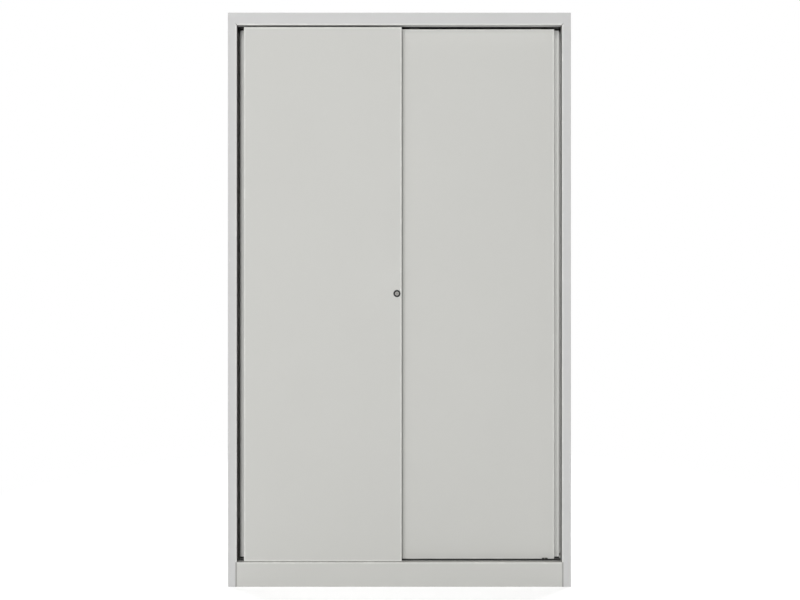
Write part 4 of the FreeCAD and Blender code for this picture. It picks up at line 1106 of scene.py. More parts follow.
runner_low, runner_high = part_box("bottom_track")
runner_line = from_the_side(runner_low.x, *grooves(runner_low.y, runner_high.z, GROOVE_WIDTH, -GROOVE_DEPTH))
runner = fold_sheet("door_runner", runner_line, RIGHT * (runner_high.x - runner_low.x), -BACK,
                    TRACK_SHEET, TRACK_BEND)
finish_piece(runner, "bottom_track")

# %% The top track
SLOT_WIDTH = 4.4 * MM
SLOT_DEPTH = 22.0 * MM

guide_line = from_the_side(track_low.x, *grooves(track_low.y, track_low.z, SLOT_WIDTH, SLOT_DEPTH),
                           (track_high.y, track_low.z), (track_high.y, track_high.z))
upper_track = fold_sheet("guide_channel", guide_line, RIGHT * (track_high.x - track_low.x), -BACK,
                         TRACK_SHEET, TRACK_BEND)
finish_piece(upper_track, "top_track")

# %% [markdown]
# Rubber blocks at the ends of the grooves stop the rollers softly. A block is a cube with its ends
# rounded over, and a saw cut across its top lets it give.

# %% The track stops
STOP_LENGTH = 20 * MM
STOP_WIDTH = 7 * MM
STOP_ROUND = 1.4 * MM
STOP_CUT = 2 * MM
STOP_CUT_DEPTH = 6 * MM

stops_low, stops_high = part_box("track_stops")
stop = block(stops_low, (stops_low.x + STOP_LENGTH, stops_low.y + STOP_WIDTH, stops_high.z))
round_edges(stop, (BACK, UP), STOP_ROUND, 4)
middle_x = stops_low.x + STOP_LENGTH / 2
cut_with(stop, block((middle_x - STOP_CUT / 2, stops_low.y - SHEET, stops_high.z - STOP_CUT_DEPTH),
                     (middle_x + STOP_CUT / 2, stops_low.y + 2 * STOP_WIDTH, stops_high.z + SHEET)))
to_right = RIGHT * (stops_high.x - stops_low.x - STOP_LENGTH)
front_pair = [stop, copy_of(stop, "right_stop", to_right)]
rear_pair = [copy_of(piece, "rear_stop", BACK * door_pitch) for piece in front_pair]
finish_piece(join_pieces("rubber_stops", front_pair + rear_pair), "track_stops")

# %% [markdown]
# ## The lock
#
# A cam lock is a barrel pushed through the skin from the front and clamped by a nut behind it. Its black
# bezel is all that shows, round a nickel plug with a keyway. The parts are turned, so they start on the
# lathe. A quarter circle in the profile rounds the bezel's rim.

# %% Profile helpers
def quarter(radius, along, reach, start_degrees, steps):
    """Points of a quarter circle of a profile round (radius, along), from an angle on."""
    angles = [math.radians(start_degrees + 90 * step / steps) for step in range(steps + 1)]
    return [(radius + reach * math.cos(angle), along + reach * math.sin(angle)) for angle in angles]


def ridges(root, crest, start, end, pitch):
    """Profile of a thread, drawn as rings."""
    points = []
    length = end - start
    count = int(abs(length) / pitch)
    for turn in range(count):
        along = start + length * turn / count
        points += [(root, along), (crest, along + length / count / 2)]
    return points + [(root, end)]

# %% The bezel and its barrel
BEZEL_ROUND = 1.25 * MM
COLLAR = 4 * SHEET        # smooth part of the barrel behind the bezel
BARREL_R = 9.0 * MM
THREAD_PITCH = 1.0 * MM
THREAD_DEPTH = 0.5 * MM
BORE_PLAY = 0.05 * MM
MOUTH = 0.35 * MM         # chamfer at the mouth of the bore
RIM_PROUD = 2.5 * MM      # bezel in front of the skin

housing_low, housing_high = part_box("lock_housing")
lock_axis = Vector((lock_centre.x, housing_low.y, lock_centre.z))
bezel_r = (housing_high.x - housing_low.x) / 2
bore_r = (lock_high.x - lock_low.x) / 2 + BORE_PLAY
barrel_end = housing_high.y - housing_low.y
profile = [(bore_r, barrel_end), (bore_r, MOUTH), (bore_r + MOUTH, 0)]
profile += quarter(bezel_r - BEZEL_ROUND, BEZEL_ROUND, BEZEL_ROUND, -90, 6)
profile += [(bezel_r, RIM_PROUD), (BARREL_R, RIM_PROUD), (BARREL_R, RIM_PROUD + COLLAR)]
profile += ridges(BARREL_R - THREAD_DEPTH, BARREL_R, RIM_PROUD + COLLAR, barrel_end, THREAD_PITCH)
profile += [(bore_r, barrel_end)]
housing = turn_on_lathe("lock_bezel", profile, lock_axis, BACK, 64)
finish_piece(housing, "lock_housing")

# %% The plug with its keyway
PLUG_EDGE = 0.3 * MM
SPIGOT_R = 3.5 * MM
KEYWAY_WIDTH = 1.4 * MM
KEYWAY_HEIGHT = 6.0 * MM
KEYWAY_DEPTH = 8.0 * MM
WARD = 0.7 * MM           # step in the side of the keyway

plug_r = (lock_high.x - lock_low.x) / 2
plug_face = lock_low.y - housing_low.y
profile = [(plug_r - PLUG_EDGE, plug_face), (plug_r, plug_face + PLUG_EDGE), (plug_r, barrel_end),
           (SPIGOT_R, barrel_end), (SPIGOT_R, lock_high.y - housing_low.y)]
plug = turn_on_lathe("key_plug", profile, lock_axis, BACK, 48)
# left, right, depth and height of each cut
for left, right, depth, tall in ((-KEYWAY_WIDTH / 2, KEYWAY_WIDTH / 2, KEYWAY_DEPTH, KEYWAY_HEIGHT),
                                 (0, KEYWAY_WIDTH / 2 + WARD, KEYWAY_DEPTH / 2, KEYWAY_WIDTH)):
    cut_with(plug, block(lock_axis + Vector((left, plug_face - SHEET, -tall / 2)),
                         lock_axis + Vector((right, plug_face + depth, tall / 2))))
finish_piece(plug, "lock_plug")

# %% [markdown]
# The cam is stamped from two-millimetre plate. It is drawn as a round hub, an arm and a round tip, joined
# by booleans into one plate, and its stamped edge is broken by a fine bevel.

# %% The cam
STAMPED_EDGE = 0.3 * MM
CAM_HUB_R = 7.0 * MM
CAM_TIP_R = 4.0 * MM

cam_low, cam_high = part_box("lock_cam")
cam_thick = cam_high.y - cam_low.y
hub_centre = Vector((lock_centre.x, cam_low.y, lock_centre.z))
tip_centre = Vector((cam_low.x + CAM_TIP_R, cam_low.y, lock_centre.z))
arm = block(tip_centre - UP * CAM_TIP_R, hub_centre + BACK * cam_thick + UP * CAM_TIP_R)
cam = rod(hub_centre, BACK, CAM_HUB_R, cam_thick, 48)
cam.name = "locking_cam"
for tool in (rod(tip_centre, BACK, CAM_TIP_R, cam_thick, 32), arm):
    combine(cam, tool, "UNION")
cut_with(cam, rod(hub_centre - BACK * SHEET, BACK, SPIGOT_R, cam_thick + 2 * SHEET, 32))
break_edges(cam, STAMPED_EDGE, 2)
finish_piece(cam, "lock_cam")

# %% [markdown]
# The screws are turned too, and two blocks cut the cross into the head.

# %% Screws
THREAD_ROOT = 0.78        # of the shank's radius
CROSS_REACH = 0.5         # half the length of an arm, of the head's radius
CROSS_WIDE = 0.13         # half its width
CROSS_FLOOR = 0.35        # of the head's height
CAM_SCREW_R = 1.5 * MM
CAM_SCREW_HEAD = 2.0 * MM


def cross_screw(name, centre, axis, shank_r, shank, head_r, head):
    """Pan head screw with a cross recess. centre is on the seat of the head, and axis points out of it."""
    pitch = shank_r / 2
    dome = head / 2
    profile = [(shank_r / 3, -shank)]
    profile += ridges(shank_r * THREAD_ROOT, shank_r, -shank + pitch, -pitch, pitch)
    profile += [(shank_r, 0), (head_r, 0)] + quarter(head_r - dome, dome, dome, 0, 5)
    screw = turn_on_lathe(name, profile, centre, axis, 24)
    reach, wide = head_r * CROSS_REACH, head_r * CROSS_WIDE
    side_way = axis.orthogonal().normalized()
    for way in (side_way, axis.cross(side_way)):
        other = axis.cross(way)
        corner = centre - way * reach - other * wide + axis * head * CROSS_FLOOR
        far = centre + way * reach + other * wide + axis * head * 2
        cut_with(screw, block(map(min, corner, far), map(max, corner, far)))
    return screw


screw_low, screw_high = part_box("cam_screw")
seat = Vector((lock_centre.x, cam_high.y, lock_centre.z))
cam_fixing = cross_screw("cam_fixing", seat, BACK, CAM_SCREW_R, seat.y - screw_low.y,
                         (screw_high.x - screw_low.x) / 2, CAM_SCREW_HEAD)
finish_piece(cam_fixing, "cam_screw")

# %% [markdown]
# A nut is cut from hexagon bar, and its corners are then turned off at thirty degrees. So the hexagon
# is intersected with a disc that has tapered rims.

# %% Nuts
TURNED_R = 0.475          # of the flats, where the taper begins
THIRTY = math.radians(30)


def hexagon_nut(name, centre, axis, flats, height, bore):
    """Nut with turned corners, from a centre along an axis."""
    corner_r = flats / math.sqrt(3)
    face_r = flats * TURNED_R
    bpy.ops.mesh.primitive_cylinder_add(vertices=6, radius=corner_r, depth=height, rotation=(0, 0, THIRTY))
    nut = bpy.context.object
    nut.name = name
    bpy.ops.object.transform_apply()
    nut.rotation_euler = axis.to_track_quat("Z", "Y").to_euler()
    nut.location = centre + axis * height / 2
    bpy.ops.object.transform_apply()
    taper = (corner_r - face_r) * math.tan(THIRTY)
    rim = [(face_r, 0), (corner_r, taper), (corner_r, height - taper), (face_r, height)]
    combine(nut, turn_on_lathe("disc", rim, centre, axis, 48), "INTERSECT")
    cut_with(nut, rod(centre - axis * height, axis, bore, 3 * height, 32))
    return nut


nut_low, nut_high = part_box("lock_nut")
lock_ring = hexagon_nut("barrel_nut", Vector((lock_centre.x, nut_low.y, lock_centre.z)), BACK,
                        nut_high.z - nut_low.z, nut_high.y - nut_low.y, BARREL_R)
finish_piece(lock_ring, "lock_nut")

# %% [markdown]
# ## The running gear
#
# Each door hangs on nothing: it stands on two nylon rollers that run in the bottom track, and two nylon
# guides keep its upper lip in line. A roller is moulded with a thin web between hub and rim, and its
# tread is slightly crowned so that it finds the middle of the groove.

# %% Rollers
HUB_R = 5.5 * MM
RIM = 2.5 * MM
ROLLER_RECESS = 1.0 * MM
AXLE_R = 2.5 * MM
CROWN = 0.15 * MM
SOFT = 0.3 * MM           # rounding of moulded edges


def roller(name, low, high):
    """Nylon wheel in a box."""
    wheel_r = (high.z - low.z) / 2
    width = high.y - low.y
    centre = Vector(((low.x + high.x) / 2, low.y, (low.z + high.z) / 2))
    bore = AXLE_R + BORE_PLAY
    side = [(bore, SOFT), (bore + SOFT, 0), (HUB_R - SOFT, 0), (HUB_R, SOFT), (HUB_R, ROLLER_RECESS),
            (wheel_r - RIM, ROLLER_RECESS), (wheel_r - RIM, SOFT), (wheel_r - RIM + SOFT, 0),
            (wheel_r - CROWN - SOFT, 0), (wheel_r - CROWN, SOFT)]
    tread = [(wheel_r, width / 2)]
    other_side = [(radius, width - along) for radius, along in reversed(side)]
    return turn_on_lathe(name, side + tread + other_side + side[:1], centre, BACK, 64)


for door in ("front", "rear"):
    for hand in ("left", "right"):
        node = "roller_%s_%s" % (door, hand)
        finish_piece(roller("%s_%s_wheel" % (door, hand), *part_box(node)), node)

# %% [markdown]
# What holds the rollers and guides is the same on both doors. So each piece is made once, on the front
# door, and copied to the rear one. The axle is a rivet with a shoulder, the bracket a small plate with
# rounded corners, and the screws have a cross recess and a thread.

# %% Axles and brackets of the front door
HEAD_R = 4.5 * MM
HEAD = 1.5 * MM
SHOULDER_R = 4.0 * MM
BRACKET_SHEET = 1.5 * MM
BRACKET_CORNER = 3.0 * MM
BRACKET_SCREW_SPACING = 44.0 * MM
GUIDE_SCREW_SPACING = 18.0 * MM
SCREW_R = 2.0 * MM

door_back = front_high.y
wheel_low, wheel_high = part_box("roller_front_left")
other_low, other_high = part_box("roller_front_right")
wheel_z = (wheel_low.z + wheel_high.z) / 2
wheel_xs = [(wheel_low.x + wheel_high.x) / 2, (other_low.x + other_high.x) / 2]
axle_low, axle_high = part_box("front_door_axles")
plates_low, plates_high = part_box("front_door_roller_brackets")
screw_z = front_low.z + DOOR_LIP / 2

tail = axle_high.y - door_back
shoulder = wheel_low.y - door_back - SOFT
profile = [(AXLE_R, axle_low.y - door_back), (AXLE_R, BRACKET_SHEET), (SHOULDER_R, BRACKET_SHEET),
           (SHOULDER_R, shoulder), (AXLE_R, shoulder), (AXLE_R, tail - HEAD), (HEAD_R, tail - HEAD),
           (HEAD_R, tail - HEAD / 2), (HEAD_R - HEAD / 8, tail - HEAD / 5), (HEAD_R - HEAD / 3, tail)]
axle = turn_on_lathe("axle", profile, Vector((wheel_xs[0], door_back, wheel_z)), BACK, 32)

bracket_half = (plates_high.x - plates_low.x - (wheel_xs[1] - wheel_xs[0])) / 2
bracket = block((wheel_xs[0] - bracket_half, door_back, plates_low.z),
                (wheel_xs[0] + bracket_half, door_back + BRACKET_SHEET, plates_high.z))
round_edges(bracket, (BACK,), BRACKET_CORNER, 5)
axle_start = Vector((wheel_xs[0], door_back - SHEET, wheel_z))
screw_start = Vector((wheel_xs[0], door_back - SHEET, screw_z))
aside = RIGHT * BRACKET_SCREW_SPACING / 2
cut_with(bracket, rod(axle_start, BACK, AXLE_R, 4 * SHEET),
         *[rod(place, BACK, SCREW_R, 4 * SHEET) for place in (screw_start - aside, screw_start + aside)])
break_edges(bracket, STAMPED_EDGE / 2)
print("bracket", len(bracket.data.polygons), "faces")

# %% [markdown]
# A guide is a moulded block: thick at the screws, stepped back above them, with a tongue that runs in
# the slot of the top track. Its outline starts as a circle with as many points as the outline has
# corners. Each point is put in its corner, and the face is extruded to the guide's width.

# %% Guides
def extruded_outline(name, corners, run):
    """Block whose section has the given corners, extruded along run."""
    bpy.ops.mesh.primitive_circle_add(vertices=len(corners), radius=1, fill_type="NGON")
    piece = bpy.context.object
    piece.name = name
    for vert, corner in zip(piece.data.vertices, corners):
        vert.co = corner
    edit(piece, "FACE")
    bpy.ops.mesh.extrude_region_move(TRANSFORM_OT_translate={"value": run})
    bpy.ops.mesh.select_all(action="SELECT")
    bpy.ops.mesh.normals_make_consistent(inside=False)
    leave()
    return piece


GUIDE_WIDTH = 36.0 * MM
GUIDE_BODY = 5.0 * MM
GUIDE_STEP = 8.0 * MM
GUIDE_DROP = 2.0 * MM     # below the top of the door
TONGUE = 2.8 * MM
MOULD_ROUND = 0.5 * MM
SCREW_HEAD_R = 3.8 * MM

guides_low, guides_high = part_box("front_door_top_guides")
guide_top = front_high.z - GUIDE_DROP
step_z = guide_top - GUIDE_STEP
body_back, tongue_back, tip = door_back + GUIDE_BODY, guides_high.y, guides_high.z
outline = from_the_side(wheel_xs[0] - GUIDE_WIDTH / 2, (door_back, guides_low.z), (body_back, guides_low.z),
                        (body_back, step_z - GUIDE_BODY), (tongue_back, step_z), (tongue_back, tip),
                        (tongue_back - TONGUE, tip), (tongue_back - TONGUE, guide_top),
                        (door_back, guide_top))
guide = extruded_outline("guide", outline, RIGHT * GUIDE_WIDTH)
break_edges(guide, MOULD_ROUND, 3, 30)
for way in (-1, 1):
    hole = Vector((wheel_xs[0] + way * GUIDE_SCREW_SPACING / 2, door_back - SHEET, step_z))
    cut_with(guide, rod(hole, BACK, SCREW_R, 20 * SHEET))
    cut_with(guide, rod(hole + BACK * (SHEET + GUIDE_BODY), BACK, SCREW_HEAD_R, 20 * SHEET, 32))
print("guide", len(guide.data.polygons), "faces")

# %% Both doors get their fittings
SCREW_HEAD = 1.8 * MM
SCREW_TAIL = 4.0 * MM     # behind the lip's face

screw = cross_screw("screw", Vector((wheel_xs[0], door_back, screw_z)), BACK, SCREW_R,
                    SCREW_TAIL + BRACKET_SHEET, SCREW_HEAD_R, SCREW_HEAD)
pair_shifts = [Vector((0, 0, 0)), RIGHT * (wheel_xs[1] - wheel_xs[0])]
screw_shifts = []
for shift in pair_shifts:
    for way in (-1, 1):
        screw_shifts.append(shift + Vector((way * BRACKET_SCREW_SPACING / 2, BRACKET_SHEET, 0)))
        screw_shifts.append(shift + Vector((way * GUIDE_SCREW_SPACING / 2, GUIDE_BODY, step_z - screw_z)))
# name of the new pieces, the piece that is copied, where its copies go, node that they stand for
FITTINGS = (
    ("axle_rivets", axle, pair_shifts, "door_axles"),
    ("roller_plates", bracket, pair_shifts, "door_roller_brackets"),
    ("guide_blocks", guide, pair_shifts, "door_top_guides"),
    ("lip_screws", screw, screw_shifts, "door_screws"),
)
for door, move in (("front", Vector((0, 0, 0))), ("rear", rear_low - front_low)):
    for name, pattern, shifts, node in FITTINGS:
        twins = [copy_of(pattern, name, move + shift) for shift in shifts]
        finish_piece(join_pieces("%s_%s" % (door, name), twins), "%s_%s" % (door, node))
for pattern in (axle, bracket, guide, screw):
    bpy.data.objects.remove(pattern)

# %% [markdown]
# A thin skin drums, so a hat-shaped rail is bonded upright behind the middle of each door. The striker
# is a small angle riveted to the rear door's edge: its tab stands where the cam comes down.

# %% Door stiffeners
RAIL_FLANGE = 20 * MM

for door in ("front", "rear"):
    node = door + "_door_stiffener"
    low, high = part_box(node)
    crown = high.y - SHEET
    left, right = low.x + RAIL_FLANGE, high.x - RAIL_FLANGE
    line = from_above(low.z, (low.x, low.y), (left, low.y), (left, crown), (right, crown), (right, low.y),
                      (high.x, low.y))
    finish_piece(fold_sheet(door + "_door_rail", line, UP * (high.z - low.z), BACK), node)

# %% The striker and its rivets
STRIKER_SHEET = 1.2 * MM
STRIKER_BEND = 1.5 * MM
STRIKER_TAB = 20 * MM
RIVET_R = 1.5 * MM
RIVET_HEAD_R = 2.5 * MM
RIVET_HEAD = 1.0 * MM
RIVET_PITCH = 14 * MM
# share of the head's radius and height at the corners of its dome, from the tip to the seat
RIVET_DOME = ((0.5, 1.0), (0.9, 0.6), (1.0, 0.0))

strike_low, strike_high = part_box("lock_striker")
strike_line = from_above(strike_low.z, (strike_low.x, strike_low.y), (strike_low.x, strike_high.y),
                         (strike_high.x, strike_high.y))
angle_plate = fold_sheet("striker_angle", strike_line, UP * (strike_high.z - strike_low.z), RIGHT,
                         STRIKER_SHEET, STRIKER_BEND)
rivet_x = (strike_low.x + STRIKER_SHEET + strike_high.x) / 2
tab_z = strike_high.z - STRIKER_TAB
rivet_places = [Vector((rivet_x, strike_high.y, tab_z - RIVET_PITCH * steps / 2)) for steps in (1, 3)]
notch = block(strike_low - Vector((SHEET, SHEET, SHEET)),
              (strike_high.x, strike_high.y - STRIKER_BEND - STRIKER_SHEET, tab_z))
cut_with(angle_plate, notch,
         *[rod(place - BACK * 2 * SHEET, BACK, RIVET_R, 4 * SHEET) for place in rivet_places])
finish_piece(angle_plate, "lock_striker")

profile = [(RIVET_HEAD_R * reach, -STRIKER_SHEET - RIVET_HEAD * rise) for reach, rise in RIVET_DOME]
profile += [(RIVET_R, -STRIKER_SHEET), (RIVET_R, SHEET), (RIVET_HEAD_R, SHEET),
            (RIVET_HEAD_R, SHEET + RIVET_HEAD)]
rivets = [turn_on_lathe("rivet", profile, place, BACK, 20) for place in rivet_places]
finish_piece(join_pieces("blind_rivets", rivets), "striker_rivets")

# %% [markdown]
# ## Uprights, shelves and clips
#
# Four perforated uprights stand in the corners. The face that holds the clips looks to the middle of
# the cupboard, and the legs of the section carry it forward from the wall. The slots are one long
# cutter: a block with rounded ends, repeated by an array.

# %% The uprights
UPRIGHT_DEPTH = 37 * MM
UPRIGHT_FACE = 26 * MM
UPRIGHT_LIP = 10 * MM
SLOT_PITCH = 25 * MM
SLOT_FIRST = 40 * MM      # above the deck
SLOT_END = 30 * MM        # below the top of an upright
SLOT_WIDE = 4 * MM
SLOT_TALL = 12 * MM
SLOT_ROUND = 0.45 * SLOT_WIDE

post_low, post_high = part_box("upright_front_right")
face_x = post_low.x
post_front = post_low.y + SHEET
post_back = post_low.y + UPRIGHT_DEPTH
outer_x = face_x + UPRIGHT_FACE - SHEET
post_line = from_above(post_low.z, (post_high.x, post_high.y), (post_high.x, post_back),
                       (face_x + SHEET, post_back), (face_x + SHEET, post_front), (outer_x, post_front),
                       (outer_x, post_front + UPRIGHT_LIP))
post = fold_sheet("post_front_right", post_line, UP * (post_high.z - post_low.z), -RIGHT)

slot_y = post_low.y + UPRIGHT_DEPTH / 2
slot_z = post_low.z + SLOT_FIRST
slot_count = int((post_high.z - SLOT_END - slot_z) / SLOT_PITCH) + 1
slots = block((face_x - SHEET, slot_y - SLOT_WIDE / 2, slot_z),
              (face_x + 2 * SHEET, slot_y + SLOT_WIDE / 2, slot_z + SLOT_TALL))
round_edges(slots, (RIGHT,), SLOT_ROUND, 3)
apply_modifier(slots, "ARRAY", count=slot_count, use_relative_offset=False, use_constant_offset=True,
               constant_offset_displace=UP * SLOT_PITCH)
cut_with(post, slots)

middle_y = (post_low.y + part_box("upright_rear_right")[1].y) / 2
TO_REAR = (Vector((0, middle_y, 0)), BACK)   # mirror between front and rear
corners = ("front_right", "rear_right", "front_left", "rear_left")
for corner, piece in zip(corners, at_four_corners(post, TO_REAR)):
    piece.name = "post_" + corner
    finish_piece(piece, "upright_" + corner, material=upright_coat_lightened)
print(slot_count, "slots in each upright")

# %% [markdown]
# A shelf is the same kind of pan as a door, open downwards. The clips under it hook into the slots:
# a folded plate with a ledge, and a hook that goes through the upright.

# %% The shelves
SHELF_LIP = 16 * MM
shelf_boxes = [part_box("shelf_%d" % number) for number in range(1, 5)]
lowest_low, lowest_high = shelf_boxes[0]


def on_every_level(piece, name):
    """The piece of the lowest shelf and its copies for the others, with numbered names."""
    return [piece] + [copy_of(piece, "%s_%d" % (name, number), low - lowest_low)
                      for number, (low, high) in enumerate(shelf_boxes[1:], start=2)]


shelf = fold_pan("shelf_pan_1", lowest_low, lowest_high, -UP, SHELF_LIP)
for number, piece in enumerate(on_every_level(shelf, "shelf_pan"), start=1):
    shelf_coat = powder_coat("shelf_coat_%d" % number, *shelf_boxes[number - 1], dust=0.25, edge_paint_share=0.3)
    finish_piece(piece, "shelf_%d" % number, material=shelf_coat)

# %% The shelf clips
CLIP_SHEET = 1.2 * MM
CLIP_BEND = 1.8 * MM
CLIP_WIDTH = 14 * MM
CLIP_HEIGHT = 24 * MM
CLIP_LEDGE = 13 * MM
HOOK_HALF = 1.7 * MM
HOOK_LENGTH = 3 * MM
HOOK_PLAY = 0.3 * MM

ledge_z = lowest_low.z
clip_y = slot_y - CLIP_WIDTH / 2
clip_line = [Vector((x, clip_y, z)) for x, z in
             ((face_x, ledge_z - CLIP_HEIGHT), (face_x, ledge_z), (face_x - CLIP_LEDGE, ledge_z))]
clip = fold_sheet("clip", clip_line, BACK * CLIP_WIDTH, -RIGHT, CLIP_SHEET, CLIP_BEND)
hook_z = ledge_z - CLIP_HEIGHT + SLOT_TALL / 2
hook = block((face_x - CLIP_SHEET / 2, slot_y - HOOK_HALF, hook_z),
             (face_x + HOOK_LENGTH, slot_y + HOOK_HALF, hook_z + SLOT_TALL - HOOK_PLAY))
combine(clip, hook, "UNION")
break_edges(clip, STAMPED_EDGE / 2)
four = join_pieces("clips_1", at_four_corners(clip, TO_REAR))
finish_piece(join_pieces("shelf_hooks", on_every_level(four, "clips")), "shelf_clips")

# %% [markdown]
# ## Deck, back and rails
#
# The deck is a sheet with a flange at the front and the back and a hole over each foot. Two thin panels
# close the back, joined on the inside by a flat hat strip. A hat rail under the deck and one under the
# top keep both from sagging.

# %% Deck
CAP_HOLE_R = 8 * MM

deck_low, deck_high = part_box("bottom_panel")
feet = {}                 # places on the floor
for corner in ("front_left", "front_right", "rear_right", "rear_left"):
    pad_low, pad_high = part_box("foot_pad_" + corner)
    feet[corner] = Vector(((pad_low.x + pad_high.x) / 2, (pad_low.y + pad_high.y) / 2, 0))
deck_line = from_the_side(deck_low.x, (deck_low.y, deck_low.z), (deck_low.y, deck_high.z),
                          (deck_high.y, deck_high.z), (deck_high.y, deck_low.z))
deck = fold_sheet("deck", deck_line, RIGHT * (deck_high.x - deck_low.x), BACK)
under_deck = UP * (deck_high.z - 2 * SHEET)
cut_with(deck, *[rod(place + under_deck, UP, CAP_HOLE_R, 4 * SHEET) for place in feet.values()])
finish_piece(deck, "bottom_panel", material=powder_coat("deck_coat", deck_low, deck_high, dust=0.3))

# %% Hat rails and the rear plinth
HAT_FLANGE = 15 * MM

for name, node in (("top_rail", "top_stiffener"), ("deck_rail", "bottom_stiffener")):
    low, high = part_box(node)
    crown = low.z + SHEET
    near, far = low.y + HAT_FLANGE, high.y - HAT_FLANGE
    line = from_the_side(low.x, (low.y, high.z), (near, high.z), (near, crown), (far, crown), (far, high.z),
                         (high.y, high.z))
    finish_piece(fold_sheet(name, line, RIGHT * (high.x - low.x), -UP), node)

low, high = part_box("plinth_rear")
line = from_the_side(low.x, (low.y, high.z), (high.y, high.z), (high.y, low.z), (low.y, low.z))
finish_piece(fold_sheet("rear_kick_rail", line, RIGHT * (high.x - low.x), -UP), "plinth_rear")

# %% [markdown]
# The back panels are spot welded, and on a real cupboard each weld shows as a shallow round dimple
# through the paint. The row that joins each panel to the strip between them is modelled: small discs
# are pressed in by a boolean, three tenths of a millimetre deep.

# %% Back panels with their welds
BACK_SHEET = 0.8 * MM
WALL_HOLE_R = 4 * MM
WALL_HOLE_X = 500 * MM
WALL_HOLE_DROP = 100 * MM
WELD_R = 3.5 * MM
WELD_DEPTH = 0.3 * MM
WELD_INSET = 34 * MM      # from the panel's upper and lower edge, clear of the flanges
WELD_SPACING = 120 * MM

back_low, back_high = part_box("back_panel_right")
back_sheet = block(back_low, back_high)
back_sheet.name = "back_sheet_right"
hole_place = Vector((WALL_HOLE_X, back_low.y - SHEET, top_z - WALL_HOLE_DROP))
cut_with(back_sheet, rod(hole_place, BACK, WALL_HOLE_R, 4 * SHEET))
strip_low, strip_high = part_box("back_joint_strip")
seam_x = strip_high.x - (strip_high.x - strip_low.x) / 8     # on the strip's flange
seam_start = Vector((seam_x, back_high.y - WELD_DEPTH, back_low.z + WELD_INSET))
seam_length = back_high.z - back_low.z - 2 * WELD_INSET
spaces = int(seam_length / WELD_SPACING)
cut_with(back_sheet, *[rod(seam_start + UP * step * seam_length / spaces, BACK, WELD_R, SHEET, 16)
                       for step in range(spaces + 1)])
other_back = copy_of(back_sheet, "back_sheet_left", mirror=LEFT_TWIN)
for side_name, sheet_piece in (("right", back_sheet), ("left", other_back)):
    node = "back_panel_" + side_name
    # The edges of each back panel are painted dark: a painted shade of the seams beside it.
    seam_coat = powder_coat("back_coat_" + side_name, *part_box(node), edge_paint_share=0.8, edge=SEAM_SHADE_GREY)
    finish_piece(sheet_piece, node, material=seam_coat)

STRIP_FLANGE = 13 * MM
STRIP_BEND = 1.6 * MM
inner_x = strip_high.x - STRIP_FLANGE
crown = strip_low.y + BACK_SHEET
strip_line = from_above(strip_low.z, (strip_low.x, strip_high.y), (-inner_x, strip_high.y), (-inner_x, crown),
                        (inner_x, crown), (inner_x, strip_high.y), (strip_high.x, strip_high.y))
strip = fold_sheet("seam_strip", strip_line, UP * (strip_high.z - strip_low.z), -BACK, BACK_SHEET,
                   STRIP_BEND)
finish_piece(strip, "back_joint_strip")

# %% [markdown]
# ## Levelling feet
#
# A foot is a threaded stud in a plastic pad. The stud turns in a nut welded on a bracket, and its slot
# is reached with a screwdriver through the hole in the deck, which a plastic cap closes.

# %% Studs and pads
STUD_R = 5 * MM
STUD_THREAD = 0.6 * MM
STUD_PITCH = 1.5 * MM
STUD_SLOT = 1.6 * MM
STUD_SLOT_DEPTH = 3 * MM
PAD_HEIGHT = 8 * MM
PAD_BOSS_R = 9 * MM
PAD_FLOOR = 3.5 * MM

pad_low, pad_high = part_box("foot_pad_front_left")
stud_low, stud_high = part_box("foot_screw_front_left")
foot_place = feet["front_left"]
pad_r = (pad_high.x - pad_low.x) / 2
base, boss_top = pad_low.z, pad_high.z
socket_r = STUD_R + BORE_PLAY
profile = [(SOFT, base + PAD_FLOOR), (SOFT, base), (pad_r - 3 * STAMPED_EDGE, base), (pad_r, base + SHEET),
           (pad_r, base + PAD_HEIGHT / 2 - SHEET), (pad_r - SHEET, base + PAD_HEIGHT / 2),
           (PAD_BOSS_R + SHEET, base + PAD_HEIGHT - SOFT), (PAD_BOSS_R, base + PAD_HEIGHT + SOFT),
           (PAD_BOSS_R, boss_top - SOFT), (PAD_BOSS_R - SOFT, boss_top), (socket_r, boss_top),
           (socket_r, base + PAD_FLOOR), (SOFT, base + PAD_FLOOR)]
pad = turn_on_lathe("pad", profile, foot_place, UP, 56)

thread_start = boss_top + SHEET
profile = [(STUD_R - STUD_THREAD, stud_low.z), (STUD_R, stud_low.z + STUD_THREAD), (STUD_R, thread_start)]
profile += ridges(STUD_R - STUD_THREAD, STUD_R, thread_start, stud_high.z - STUD_THREAD, STUD_PITCH)
profile += [(STUD_R - 2 * STUD_THREAD, stud_high.z)]
stud = turn_on_lathe("stud", profile, foot_place, UP, 32)
cut_with(stud, block(foot_place + Vector((-2 * STUD_R, -STUD_SLOT / 2, stud_high.z - STUD_SLOT_DEPTH)),
                     foot_place + Vector((2 * STUD_R, STUD_SLOT / 2, stud_high.z + SHEET))))
for corner, place in feet.items():
    finish_piece(copy_of(stud, "stud_" + corner, place - foot_place), "foot_screw_" + corner)
    finish_piece(copy_of(pad, "pad_" + corner, place - foot_place), "foot_pad_" + corner)
bpy.data.objects.remove(stud)
bpy.data.objects.remove(pad)

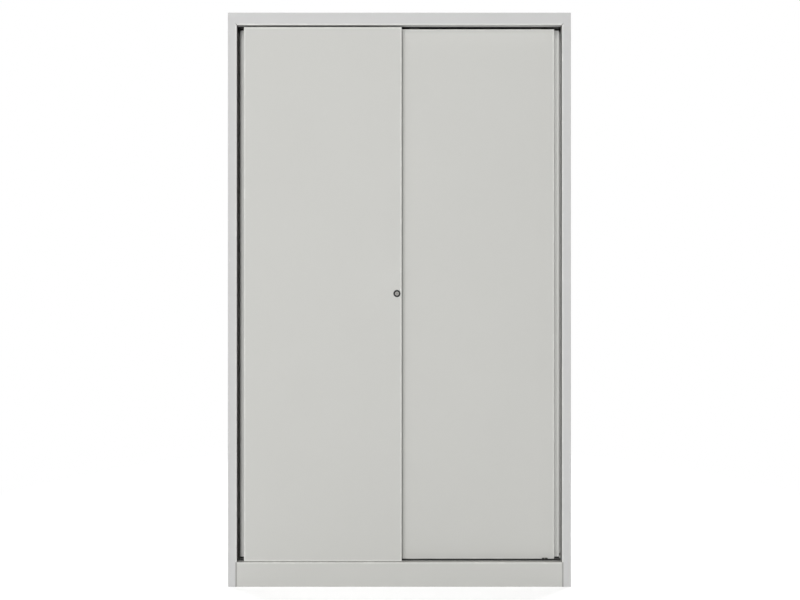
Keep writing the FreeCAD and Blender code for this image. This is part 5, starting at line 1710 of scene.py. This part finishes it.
# %% Brackets, nuts and caps of the feet
FOOT_PLATE = 2 * MM
FOOT_BEND = 3 * MM
FOOT_REACH = 24 * MM      # of the angle's floor leg past the stud, towards the middle
NUT_FLATS = 17 * MM
CAP_R = 10.5 * MM
CAP_ROUND = 0.75 * MM
CAP_STEM = 6 * MM
CAP_WALL = 1 * MM

angle_low, angle_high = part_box("foot_brackets")
foot_nut_low, foot_nut_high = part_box("foot_nuts")
place = Vector((-foot_place.x, foot_place.y, 0))
inner_x = place.x - FOOT_REACH
half_plate = place.y - angle_low.y
angle_line = [Vector((x, angle_low.y, z)) for x, z in
              ((angle_high.x, angle_high.z), (angle_high.x, angle_low.z), (inner_x, angle_low.z))]
foot_angle = fold_sheet("foot_angle", angle_line, BACK * 2 * half_plate, -RIGHT, FOOT_PLATE, FOOT_BEND)
cut_with(foot_angle, rod(place + UP * (angle_low.z - SHEET), UP, socket_r, 5 * SHEET, 32))
break_edges(foot_angle, STAMPED_EDGE)
weld_nut = hexagon_nut("weld_nut", place + UP * foot_nut_low.z, UP, NUT_FLATS,
                       foot_nut_high.z - foot_nut_low.z, socket_r)
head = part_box("foot_hole_caps")[1].z - deck_high.z
stem_r = CAP_HOLE_R - BORE_PLAY
profile = [(stem_r - CAP_WALL, -head), (stem_r - CAP_WALL, -CAP_STEM), (stem_r - SOFT, -CAP_STEM),
           (stem_r, -CAP_STEM + SOFT), (stem_r, 0), (CAP_R, 0), (CAP_R, head - CAP_ROUND),
           (CAP_R - CAP_ROUND / 4, head - CAP_ROUND / 3), (CAP_R - CAP_ROUND, head)]
cap = turn_on_lathe("cap", profile, place + UP * deck_high.z, UP, 40)

base_middle = (Vector((0, (place.y + feet["rear_right"].y) / 2, 0)), BACK)
for name, pattern, node in (("foot_angles", foot_angle, "foot_brackets"),
                            ("weld_nuts", weld_nut, "foot_nuts"), ("hole_caps", cap, "foot_hole_caps")):
    finish_piece(join_pieces(name, at_four_corners(pattern, base_middle)), node)
print(len(made), "pieces made")
